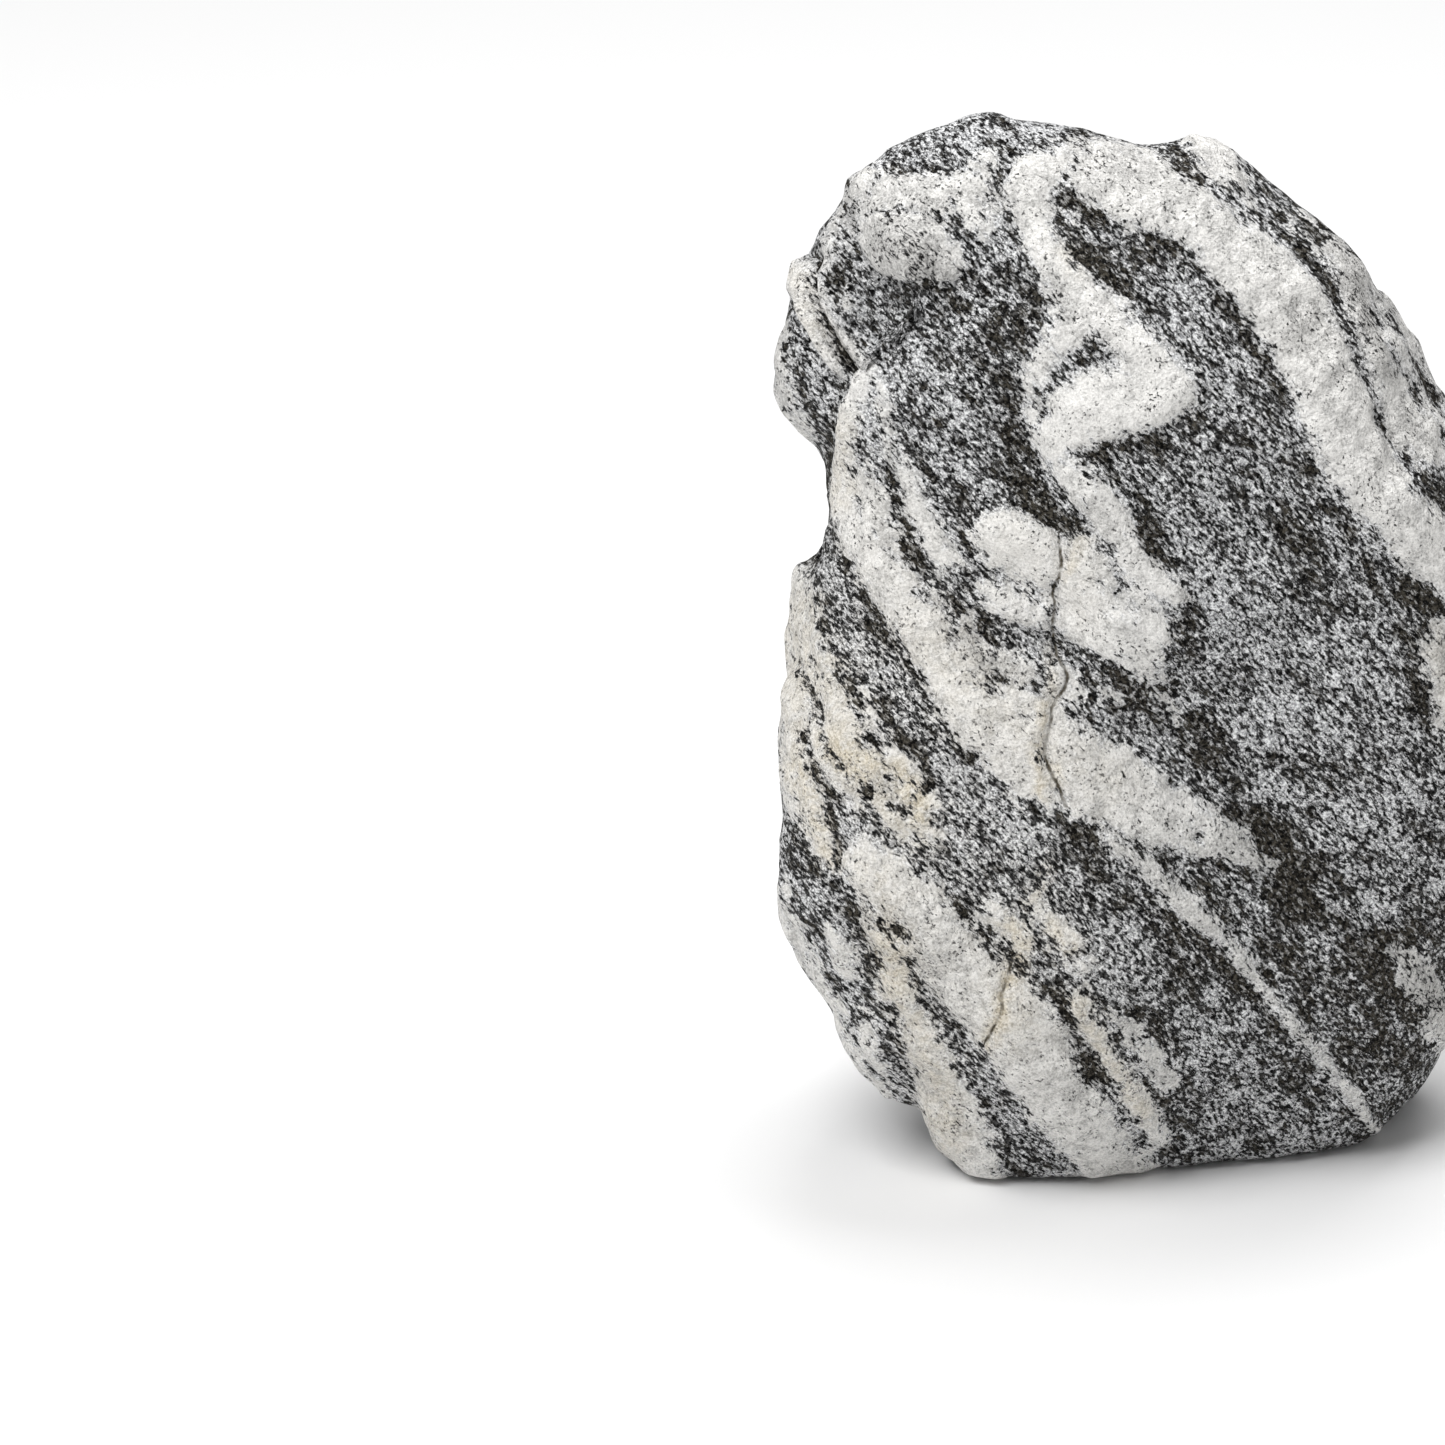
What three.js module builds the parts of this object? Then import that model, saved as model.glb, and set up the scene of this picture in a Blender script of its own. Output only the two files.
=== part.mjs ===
// A water-worn stone of banded gneiss that stands on a small natural foot.
// Millimetres, +Z up, the broad face towards -Y, the origin in the middle of the foot.
//
// The stone is laid out by eye on a drawing board that leans back from the upright. A point
// has a place across the board (to the right), a place up the board, and a depth behind it.
// The eye is in front of the board, so what lies deeper is spread out a little.

import * as THREE from 'three';

// Driving dimensions, in millimetres and degrees. The eye's place is given on the board.
const BOARD_LEAN = 23;
const BOARD_HEIGHT = 132;
const EYE_DISTANCE = 1800;
const EYE_ACROSS = -102;
const EYE_UP = -18;
const FRONT_DEPTH = 60;
const BACK_DEPTH = 66;
const BELLY_UP = -34;
const BELLY_TAPER = 320;
const FORWARD_PER_UP = 0.34;
const SQUARENESS = 2.35;
const FOOT_EDGE = 6;
const FOOT_CENTRE_X = 13.5;
const FOOT_CENTRE_Y = 2.5;
const CELLS_ACROSS = 28;
const CELLS_DEEP = 19;
const CELLS_UP = 38;

// The outline as seen on the board, from the crest round by the right: [across, up].
const OUTLINE = [
  [-37.5, 135.5], [-25, 133], [-12.5, 131.25], [0, 127.75], [7.5, 127.25], [17.5, 129],
  [25, 125.75], [37.5, 116.25], [50, 106.25], [56.25, 100.25], [62.5, 89.75], [71.25, 79.25],
  [77.5, 67], [87.5, 50], [93.75, 30], [97.5, 7.5], [98.75, -17.5], [96.25, -42.5],
  [91.25, -67.5], [83.75, -90], [73.75, -108.75], [61.25, -122.5], [45, -132], [25, -136],
  [0, -137], [-20, -137.5], [-36, -136.5], [-45.5, -130.5], [-49.5, -122.5], [-53, -116],
  [-60, -112.5], [-67, -108], [-72.25, -98.75], [-77.5, -88.25], [-85, -76.25], [-88.5, -65],
  [-87.75, -51.25], [-86, -37.5], [-87, -22.5], [-85.5, 0], [-83.25, 20], [-78.75, 27.5],
  [-77, 36.25], [-80.25, 47.5], [-86.25, 57.5], [-89.5, 71.25], [-86.5, 87.5], [-80.5, 102.5],
  [-74, 112.5], [-65.25, 122.5], [-56.25, 128.75], [-47.5, 132.75],
];

// Relief is drawn as lines on the board. half is a line's half-width, and rise is how far it
// stands out, or how far it is sunk where it is negative. The points of a line follow.
function stroke(half, rise, ...line) {
  return { half, rise, line, ledge: false };
}

// A ledge drops on the right of its line only, as one walks along it, over a short face.
function ledge(half, rise, ...line) {
  return { half, rise, line, ledge: true };
}
const LEDGE_FACE = 3;

const FACE_RELIEF = {
  bossAtUpperLeft: stroke(12, 5, [-58, 106], [-55, 98]),
  creaseBesideBoss: stroke(5, -2.5, [-72, 104], [-70, 98], [-65, 90]),
  hollowUnderBoss: stroke(8, -2.5, [-60, 86], [-48, 85], [-36, 87]),
  ribOfLobe: stroke(4.5, 2, [-82, 102], [-84, 90], [-79, 78], [-71, 69]),
  ledgeOverLobe: ledge(16, -7, [-64, 76], [-69, 70], [-73, 60], [-75, 48], [-75, 36], [-77, 30]),
  valleyOfDarkStreak: stroke(8, -2, [-33, 73], [-31, 56], [-27, 45]),
  ovalKnob: stroke(9, 3.4, [-32, 27], [-25.5, 23.5]),
  halfMoonUnderKnob: stroke(5.5, 1.4, [-36, 12], [-29, 9.5], [-21, 10]),
  creaseUnderHalfMoon: stroke(5, -1.4, [-39, 4], [-28, 1], [-17, 0]),
  valleyOfCrack: stroke(8, -1.8, [-17, 14], [-18, 3], [-16, -9], [-21, -22], [-19, -35]),
  longPaleBand: stroke(
    8, 2, [-70, 62], [-71, 42], [-64, 18], [-52, 2], [-38, -16], [-17, -29], [8, -41], [30, -51],
  ),
  paleFoldUpperLimb: stroke(7, 1.8, [-25, 114], [-21, 100], [-10, 85], [8, 72], [17, 65]),
  paleFoldLowerLimb: stroke(7, 1.8, [10, 61], [-4, 58], [-15, 50], [-8, 36], [3, 24], [12, 16]),
  paleLumpByCrack: stroke(9, 2.4, [-6, 12], [5, 4]),
  paleBandOfShoulder: stroke(
    9, 2.2, [-15, 119], [12, 111], [32, 95], [47, 76], [57, 50], [72, 28], [86, 12],
  ),
  broadBandAtFoot: stroke(10, 2.4, [-64, -60], [-44, -78], [-26, -100], [-12, -118]),
  outerBandAtFoot: stroke(5, 2, [-61, -76], [-55, -95], [-47, -116]),
  grooveBetweenFootBands: stroke(4.5, -2, [-56, -82], [-44, -97], [-33, -114], [-26, -122]),
  grooveByOuterFootBand: stroke(4.5, -1.8, [-78, -52], [-70, -68], [-61, -86], [-56, -108]),
  grooveByBroadFootBand: stroke(5, -1.8, [-57, -51], [-42, -63], [-28, -79], [-12, -103]),
  thinVein: stroke(5, 1.4, [-3, -50], [17, -68], [28, -80], [42, -96]),
  hollowAtLowerRight: stroke(16, -3, [40, -53], [62, -70]),
  ridgeAlongRightRim: stroke(8, 2, [44, 108], [57, 84], [70, 56], [80, 30]),
};

// The far side, drawn on the same board as if seen through the stone.
const BACK_RELIEF = {
  highBoss: stroke(22, 6, [-30, 82], [-8, 66]),
  hollowBesideBoss: stroke(13, -4.5, [18, 88], [26, 62], [22, 40]),
  longRidge: stroke(11, 4.5, [-66, 48], [-38, 20], [-6, -8], [28, -30], [62, -46]),
  grooveBelowRidge: stroke(6, -3.6, [-70, 18], [-44, -8], [-12, -34], [26, -56]),
  lowerRidge: stroke(9, 3.2, [-62, -26], [-34, -50], [-4, -74], [20, -92]),
  shoulder: stroke(18, 5, [52, 24], [66, 2]),
  lowHollow: stroke(16, -4, [-50, -88], [-30, -104]),
  lowBoss: stroke(14, 4, [48, -82], [40, -96]),
};

// How far into the board a direction points where the face's relief ends, and where the far
// side's relief and the ripple of the banding begin: [from, to].
const FACE_ENDS = [0.2, 0.65];
const BACK_BEGINS = [-0.1, 0.5];
const RIPPLE_BEGINS = [-0.3, 0.2];

// All relief fades out within this depth of the rim, whose outline is drawn.
const RIM_HOLD = 24;

// Past the rim the drawing carries on outwards by this much for each mm of depth, so that
// what is drawn at the rim runs round the side before it fades.
const WRAP = 0.8;

const TURN = 2 * Math.PI;
const { clamp, degToRad, lerp } = THREE.MathUtils;

function smooth([low, high], value) {
  const share = clamp((value - low) / (high - low), 0, 1);
  return share * share * (3 - 2 * share);
}

// The outline as a radius for each direction about the board's middle: a cubic between
// neighbouring points, with the slope at a point taken from the points beside it.
const knots = OUTLINE.map(([across, up]) => {
  return { angle: Math.atan2(up, across), radius: Math.hypot(across, up) };
});
knots.sort((a, b) => a.angle - b.angle);

function knot(index) {
  const turns = Math.floor(index / knots.length);
  const { angle, radius } = knots[index - turns * knots.length];
  return { angle: angle + turns * TURN, radius };
}

function slope(index) {
  const before = knot(index - 1);
  const after = knot(index + 1);
  return (after.radius - before.radius) / (after.angle - before.angle);
}

function outlineRadius(angle) {
  let index = knots.length - 1;
  while (index >= 0 && knots[index].angle > angle) {
    index -= 1;
  }
  const from = knot(index);
  const to = knot(index + 1);
  const span = to.angle - from.angle;
  const t = (angle - from.angle) / span;
  const ease = t * t * (3 - 2 * t);
  const leave = t * (1 - t) * (1 - t) * span * slope(index);
  const arrive = t * t * (t - 1) * span * slope(index + 1);
  return lerp(from.radius, to.radius, ease) + leave + arrive;
}

// The outline with its notches and corners averaged away, for the middle of the faces: a
// notch in the rim doesn't run on to the middle of the stone.
const ROUNDING_STEP = degToRad(6);
const ROUNDING_STEPS = 5;
const NOTCH_FADE = 5;

function roundedRadius(angle) {
  let sum = 0;
  for (let k = -ROUNDING_STEPS; k <= ROUNDING_STEPS; k += 1) {
    const turned = angle + k * ROUNDING_STEP;
    sum += outlineRadius(Math.atan2(Math.sin(turned), Math.cos(turned)));
  }
  return sum / (2 * ROUNDING_STEPS + 1);
}

// The distance from a point to a drawn line, and whether the point is on the line's right.
function fromLine(across, up, line) {
  let nearest = Infinity;
  let right = false;
  for (let i = 0; i + 1 < line.length; i += 1) {
    const [startAcross, startUp] = line[i];
    const dx = line[i + 1][0] - startAcross;
    const dy = line[i + 1][1] - startUp;
    const toX = across - startAcross;
    const toY = up - startUp;
    const along = clamp((toX * dx + toY * dy) / (dx * dx + dy * dy), 0, 1);
    const distance = Math.hypot(toX - along * dx, toY - along * dy);
    if (distance < nearest) {
      nearest = distance;
      right = dx * toY - dy * toX < 0;
    }
  }
  return { distance: nearest, right };
}

// A stroke is highest on its line and falls off as a bell curve to its sides.
function drawnRelief(strokes, across, up) {
  let height = 0;
  for (const { line, half, rise, ledge: oneSided } of Object.values(strokes)) {
    const { distance, right } = fromLine(across, up, line);
    const bell = Math.exp(-((distance / half) ** 2));
    if (!oneSided) {
      height += rise * bell;
    } else if (right) {
      height += rise * bell * smooth([0, LEDGE_FACE], distance);
    }
  }
  return height;
}

// Slow swells of the whole surface: waves along directions spread evenly over a sphere by
// the golden angle, each shorter and lower than the one before.
const SWELLS = 9;
const SWELL_LENGTH = 150;
const SWELL_RISE = 1.7;
const SWELL_SHRINK = 0.84;
const SWELL_PHASE = 1.7;
const GOLDEN_ANGLE = Math.PI * (3 - Math.sqrt(5));

function swell(place) {
  let height = 0;
  for (let i = 0; i < SWELLS; i += 1) {
    const shrink = SWELL_SHRINK ** i;
    const z = 1 - (2 * i + 1) / SWELLS;
    const flat = Math.sqrt(1 - z * z);
    const x = flat * Math.cos(i * GOLDEN_ANGLE);
    const y = flat * Math.sin(i * GOLDEN_ANGLE);
    const along = place.x * x + place.y * y + place.z * z;
    const turned = (TURN * along) / (SWELL_LENGTH * shrink) + SWELL_PHASE * i;
    height += SWELL_RISE * shrink * Math.sin(turned);
  }
  return height;
}

// The ripple of the banding: ridges along the sheets of the stone, which bend, and which
// crowd together and open out again. A bend is a sine of the place along its wave.
const BAND_ACROSS = new THREE.Vector3(0.71, 0.28, 0.64);
const BAND_SPACING = 33;
const BAND_RISE = 1.1;
const BAND_BENDS = [
  { shift: 7, wave: new THREE.Vector3(0.032, 0, 0.021) },
  { shift: 5, wave: new THREE.Vector3(0, 0.043, 0) },
];
const CROWDING = 1.6;
const CROWDING_WAVE = 0.053;

function bandRipple(place) {
  let across = place.dot(BAND_ACROSS);
  for (const { shift, wave } of BAND_BENDS) {
    across += shift * Math.sin(place.dot(wave));
  }
  const crowding = CROWDING * Math.sin(CROWDING_WAVE * across);
  return BAND_RISE * Math.sin((TURN / BAND_SPACING) * across + crowding);
}

// A place seen on the board at some depth, over the ground under the board's middle.
const LEAN_SIN = Math.sin(degToRad(BOARD_LEAN));
const LEAN_COS = Math.cos(degToRad(BOARD_LEAN));

function offBoard(seenAcross, seenUp, depth) {
  const spread = 1 + depth / EYE_DISTANCE;
  const across = EYE_ACROSS + (seenAcross - EYE_ACROSS) * spread;
  const up = EYE_UP + (seenUp - EYE_UP) * spread;
  return new THREE.Vector3(
    across,
    up * LEAN_SIN + depth * LEAN_COS,
    up * LEAN_COS - depth * LEAN_SIN + BOARD_HEIGHT,
  );
}

// The middle sheet of the stone ends in the rim. It leans forward off the board, so that the
// stone stands upright, and the rim wanders to and fro around the stone in two waves.
const RIM_WAVES = [
  { waves: 2, depth: 8, phase: 2.8 },
  { waves: 3, depth: 4, phase: 5 },
];

function middleSheet(angle, flat, up) {
  let sheet = -FORWARD_PER_UP * up;
  for (const { waves, depth, phase } of RIM_WAVES) {
    sheet += flat * depth * Math.sin(waves * angle + phase);
  }
  return sheet;
}

// The body: a rounded cushion under the outline, thickest at the belly, with the drawn
// relief of its two sides. direction.y points into the board.
function body(direction) {
  const flat = Math.hypot(direction.x, direction.z);
  const angle = Math.atan2(direction.z, direction.x);
  const reach = (flat ** SQUARENESS + Math.abs(direction.y) ** SQUARENESS) ** (-1 / SQUARENESS);
  const notched = (reach * flat) ** NOTCH_FADE;
  const radius = reach * lerp(roundedRadius(angle), outlineRadius(angle), notched);
  const across = radius * direction.x;
  const up = radius * direction.z;
  const taper = 1 - ((up - BELLY_UP) / BELLY_TAPER) ** 2;
  const behind = reach * direction.y * taper * (direction.y < 0 ? FRONT_DEPTH : BACK_DEPTH);

  const wrap = 1 + (WRAP * Math.max(0, behind)) / Math.max(1, radius * flat);
  const onFace = 1 - smooth(FACE_ENDS, direction.y);
  const onBack = smooth(BACK_BEGINS, direction.y);
  const face = onFace * drawnRelief(FACE_RELIEF, across * wrap, up * wrap);
  const back = onBack * drawnRelief(BACK_RELIEF, across, up);
  const offRim = smooth([0, RIM_HOLD], Math.abs(behind));
  const depth = middleSheet(angle, flat, up) + behind + offRim * (back - face);
  return { behind, place: offBoard(across, up, depth) };
}

// The outward direction of the body, from two places a small step away on it.
const STEP = 0.01;

function outward(direction, place) {
  const side = new THREE.Vector3(0, 1, 0).cross(direction);
  if (side.length() < STEP) {
    side.set(1, 0, 0);
  }
  side.normalize();
  const over = direction.clone().cross(side);
  const beside = body(direction.clone().addScaledVector(side, STEP).normalize()).place.sub(place);
  const above = body(direction.clone().addScaledVector(over, STEP).normalize()).place.sub(place);
  return beside.cross(above).normalize();
}

// The foot: what would reach below the ground is flat, and turns up over a short edge.
function settled(z) {
  if (z <= -FOOT_EDGE) {
    return 0;
  }
  return z < FOOT_EDGE ? (z + FOOT_EDGE) ** 2 / (4 * FOOT_EDGE) : z;
}

// The whole surface: the swells, and past the rim the ripple, lift the body along its
// outward direction. Then the stone is set down with the middle of its foot at the origin.
function surface(direction) {
  const { behind, place } = body(direction);
  const ripple = smooth(RIPPLE_BEGINS, direction.y) * bandRipple(place);
  const lift = smooth([0, RIM_HOLD], Math.abs(behind)) * (swell(place) + ripple);
  const point = place.clone().addScaledVector(outward(direction, place), lift);
  return new THREE.Vector3(point.x - FOOT_CENTRE_X, point.y - FOOT_CENTRE_Y, settled(point.z));
}

// A cube's six faces, each a grid of even angles, blown up to the stone. Each face has its
// outward axis and the two axes that it spans, as numbers: 0 across, 1 deep, 2 up.
const CUBE_FACES = [
  { axis: 0, sign: 1, first: 1, second: 2 }, { axis: 0, sign: -1, first: 2, second: 1 },
  { axis: 1, sign: 1, first: 2, second: 0 }, { axis: 1, sign: -1, first: 0, second: 2 },
  { axis: 2, sign: 1, first: 0, second: 1 }, { axis: 2, sign: -1, first: 1, second: 0 },
];
const CELLS = [CELLS_ACROSS, CELLS_DEEP, CELLS_UP];

function stoneGeometry() {
  const points = [];
  const triangles = [];
  const known = new Map();

  function corner({ axis, sign, first, second }, i, j) {
    const steps = [0, 0, 0];
    steps[axis] = sign > 0 ? CELLS[axis] : 0;
    steps[first] = i;
    steps[second] = j;
    const key = steps.join();
    if (!known.has(key)) {
      const even = steps.map((step, k) => Math.tan((Math.PI / 4) * ((2 * step) / CELLS[k] - 1)));
      known.set(key, points.length);
      points.push(surface(new THREE.Vector3(...even).normalize()));
    }
    return known.get(key);
  }

  // Each cell is cut along its shorter diagonal.
  for (const face of CUBE_FACES) {
    for (let i = 0; i < CELLS[face.first]; i += 1) {
      for (let j = 0; j < CELLS[face.second]; j += 1) {
        const a = corner(face, i, j);
        const b = corner(face, i + 1, j);
        const c = corner(face, i + 1, j + 1);
        const d = corner(face, i, j + 1);
        if (points[a].distanceTo(points[c]) < points[b].distanceTo(points[d])) {
          triangles.push(a, b, c, a, c, d);
        } else {
          triangles.push(a, b, d, b, c, d);
        }
      }
    }
  }
  const geometry = new THREE.BufferGeometry().setFromPoints(points);
  geometry.setIndex(triangles);
  geometry.computeVertexNormals();
  return geometry;
}

const gneiss = new THREE.MeshStandardMaterial({ color: 0x9a9a96, roughness: 0.85, metalness: 0 });
const stone = new THREE.Mesh(stoneGeometry(), gneiss);
stone.name = 'stone';

const group = new THREE.Group();
group.add(stone);

export default group;
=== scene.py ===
# %% [markdown]
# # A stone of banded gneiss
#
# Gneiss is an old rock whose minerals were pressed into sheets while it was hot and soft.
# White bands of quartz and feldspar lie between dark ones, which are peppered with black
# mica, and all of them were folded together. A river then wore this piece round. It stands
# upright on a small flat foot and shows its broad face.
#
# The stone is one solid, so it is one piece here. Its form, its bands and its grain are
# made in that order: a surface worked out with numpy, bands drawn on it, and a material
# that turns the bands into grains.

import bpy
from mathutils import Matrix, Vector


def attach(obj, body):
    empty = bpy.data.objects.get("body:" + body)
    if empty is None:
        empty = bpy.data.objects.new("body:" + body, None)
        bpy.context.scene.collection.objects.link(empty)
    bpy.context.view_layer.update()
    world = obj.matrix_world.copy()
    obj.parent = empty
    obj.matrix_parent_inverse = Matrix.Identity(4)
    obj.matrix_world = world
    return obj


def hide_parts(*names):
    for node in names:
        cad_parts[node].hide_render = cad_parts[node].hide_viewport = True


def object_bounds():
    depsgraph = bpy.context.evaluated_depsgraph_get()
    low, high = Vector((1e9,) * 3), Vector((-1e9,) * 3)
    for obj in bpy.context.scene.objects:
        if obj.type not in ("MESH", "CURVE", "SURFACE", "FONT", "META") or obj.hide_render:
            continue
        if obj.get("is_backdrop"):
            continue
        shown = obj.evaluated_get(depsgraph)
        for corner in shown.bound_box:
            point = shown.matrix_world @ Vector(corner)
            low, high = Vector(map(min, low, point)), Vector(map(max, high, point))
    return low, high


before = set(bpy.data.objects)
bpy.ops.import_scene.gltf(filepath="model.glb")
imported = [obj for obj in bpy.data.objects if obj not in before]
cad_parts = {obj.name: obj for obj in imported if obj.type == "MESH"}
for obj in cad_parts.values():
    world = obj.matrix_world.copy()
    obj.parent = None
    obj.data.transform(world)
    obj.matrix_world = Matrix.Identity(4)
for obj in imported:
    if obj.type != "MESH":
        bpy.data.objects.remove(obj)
cad_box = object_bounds()
print("packed model, mm:", [round(1000 * side) for side in cad_box[1] - cad_box[0]])

# %% Tools
import itertools
import math

import bpy
import numpy as np
from mathutils import Vector

MM = 0.001


def smooth(low, high, value):
    """0 below low, 1 above high, and an even S-shaped climb between them."""
    share = np.clip((value - low) / (high - low), 0, 1)
    return share * share * (3 - 2 * share)


def mix(low, high, share):
    """low where the share is 0, high where it is 1, and in proportion between them."""
    return low + (high - low) * share


print("a quarter of the way up the climb:", smooth(0, 1, 0.25))

# %% [markdown]
# ## The drawing board
#
# A stone has no straight edges to measure, so its form is drawn as it is seen. The board
# leans back by the angle at which the eye looks down, and the eye is in front of it. A
# point has a place across the board, a place up the board, and a depth behind it, all in
# millimetres. The camera stands where the eye is, so what is drawn at a place on the board
# shows at that place in the picture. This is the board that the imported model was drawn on,
# which keeps the two surfaces together.

# %% The board and the eye
BOARD_LEAN = math.radians(23)
BOARD_HEIGHT = 132
EYE_DISTANCE = 1800
EYE_ACROSS = -102
EYE_UP = -18
FOOT_CENTRE = np.array([13.5, 2.5, 0])


def off_board(seen_across, seen_up, depth):
    """The place in space of a point on the board at some depth.

    What is deeper spreads out from the eye's place, in proportion to its distance from the
    eye. Then the board's up and depth are turned by its lean.
    """
    spread = 1 + depth / EYE_DISTANCE
    across = EYE_ACROSS + (seen_across - EYE_ACROSS) * spread
    up = EYE_UP + (seen_up - EYE_UP) * spread
    forward = up * math.sin(BOARD_LEAN) + depth * math.cos(BOARD_LEAN)
    height = up * math.cos(BOARD_LEAN) - depth * math.sin(BOARD_LEAN) + BOARD_HEIGHT
    return np.stack([across, forward, height], axis=-1)


def on_board(place):
    """Where on the board the eye sees a point in space: off_board in reverse order."""
    height = place[:, 2] - BOARD_HEIGHT
    up = place[:, 1] * math.sin(BOARD_LEAN) + height * math.cos(BOARD_LEAN)
    depth = place[:, 1] * math.cos(BOARD_LEAN) - height * math.sin(BOARD_LEAN)
    spread = 1 + depth / EYE_DISTANCE
    seen_across = EYE_ACROSS + (place[:, 0] - EYE_ACROSS) / spread
    return np.array([seen_across, EYE_UP + (up - EYE_UP) / spread])


eye = off_board(np.array(EYE_ACROSS), np.array(EYE_UP), np.array(-EYE_DISTANCE)) - FOOT_CENTRE
print("eye, mm:", eye.round(), "distance from the foot:", round(float(np.linalg.norm(eye))))

# %% [markdown]
# ## The outline
#
# The outline is a list of points on the board, from the crest round by the right. Seventeen
# of them, along the crest and the upper left rim, were measured by a script that looked for
# the stone's edge in the picture. The others were read off it, or guessed. A radius is
# needed for every direction, so a cubic curve is laid through the points. Its slope at a
# point comes from the points on both sides, which rounds the outline without moving it. A
# second radius is averaged over 60 degrees: it has no notches, and serves the middle of the
# faces, because a notch in the rim doesn't run on to the middle of a stone.

# %% The outline
OUTLINE = np.array([
    (-37.5, 135.5), (-25, 133), (-12.5, 131.25), (0, 127.75), (7.5, 127.25), (17.5, 129),
    (25, 125.75), (37.5, 116.25), (50, 106.25), (56.25, 100.25), (62.5, 89.75), (71.25, 79.25),
    (77.5, 67), (87.5, 50), (93.75, 30), (97.5, 7.5), (98.75, -17.5), (96.25, -42.5),
    (91.25, -67.5), (83.75, -90), (73.75, -108.75), (61.25, -122.5), (45, -132), (25, -136),
    (0, -137), (-20, -137.5), (-36, -136.5), (-45.5, -130.5), (-49.5, -122.5), (-53, -116),
    (-60, -112.5), (-67, -108), (-72.25, -98.75), (-77.5, -88.25), (-85, -76.25), (-88.5, -65),
    (-87.75, -51.25), (-86, -37.5), (-87, -22.5), (-85.5, 0), (-83.25, 20), (-78.75, 27.5),
    (-77, 36.25), (-80.25, 47.5), (-86.25, 57.5), (-89.5, 71.25), (-86.5, 87.5), (-80.5, 102.5),
    (-74, 112.5), (-65.25, 122.5), (-56.25, 128.75), (-47.5, 132.75),
])
ROUNDING = np.radians(np.arange(-30, 31, 6))

knot_angle = np.arctan2(OUTLINE[:, 1], OUTLINE[:, 0])
order = np.argsort(knot_angle)
knot_radius = np.hypot(OUTLINE[:, 0], OUTLINE[:, 1])[order]
knot_angle = knot_angle[order]
next_angle = np.append(knot_angle[1:], knot_angle[0] + math.tau)
last_angle = np.append(knot_angle[-1] - math.tau, knot_angle[:-1])
knot_slope = (np.roll(knot_radius, -1) - np.roll(knot_radius, 1)) / (next_angle - last_angle)


def outline_radius(angle):
    """The radius of the outline: a cubic with the knots' radii and slopes at its ends."""
    angle = np.where(angle < knot_angle[0], angle + math.tau, angle)
    start = np.searchsorted(knot_angle, angle, side="right") - 1
    end = (start + 1) % len(knot_angle)
    span = next_angle[start] - knot_angle[start]
    t = (angle - knot_angle[start]) / span
    level = mix(knot_radius[start], knot_radius[end], t * t * (3 - 2 * t))
    leave = t * (1 - t) ** 2 * span * knot_slope[start]
    arrive = t * t * (t - 1) * span * knot_slope[end]
    return level + leave + arrive


def rounded_radius(angle):
    """The outline's radius, averaged over the directions near by."""
    turned = [angle + turn for turn in ROUNDING]
    return np.mean([outline_radius(np.arctan2(np.sin(a), np.cos(a))) for a in turned], axis=0)


print("outline:", len(OUTLINE), "points,", np.ptp(OUTLINE, axis=0).round(), "mm across and up")

# %% [markdown]
# ## Strokes
#
# Relief and bands are both drawn as strokes. A stroke is a line through a few points with
# a half-width, so all that is ever needed is the distance from a place to a line. A stroke
# whose points have a third number tapers: that number is the half-width at the point.

# %% Distance to a stroke


def from_line(across, up, line):
    """The distance to a line, less its half-width, and whether the place is on its right.

    For each straight piece of the line, the place is dropped onto it at right angles, or
    onto the nearer end. The nearest piece counts.
    """
    nearest = np.full(np.shape(across), np.inf)
    right = np.zeros(np.shape(across), bool)
    for start, end in itertools.pairwise(line):
        step = (end[0] - start[0], end[1] - start[1])
        to_across = across - start[0]
        to_up = up - start[1]
        along = (to_across * step[0] + to_up * step[1]) / (step[0] ** 2 + step[1] ** 2)
        along = np.clip(along, 0, 1)
        distance = np.hypot(to_across - along * step[0], to_up - along * step[1])
        if len(start) == 3:
            distance = distance - mix(start[2], end[2], along)
        right = np.where(distance < nearest, step[0] * to_up < step[1] * to_across, right)
        nearest = np.minimum(nearest, distance)
    return nearest, right


print("3 mm above a level line:", from_line(0, 3, [(-5, 0), (5, 0)])[0], "mm from it")

# %% [markdown]
# ## The relief of the two faces
#
# A river wears the soft mica away first, so the white bands stand out as low ribs with
# grooves between them. Bosses, hollows and the lobe behind a ledge at the upper left are
# strokes too, wide ones. The far side isn't seen in the picture, and gets relief of the
# same kind, drawn on the same board.

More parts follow.
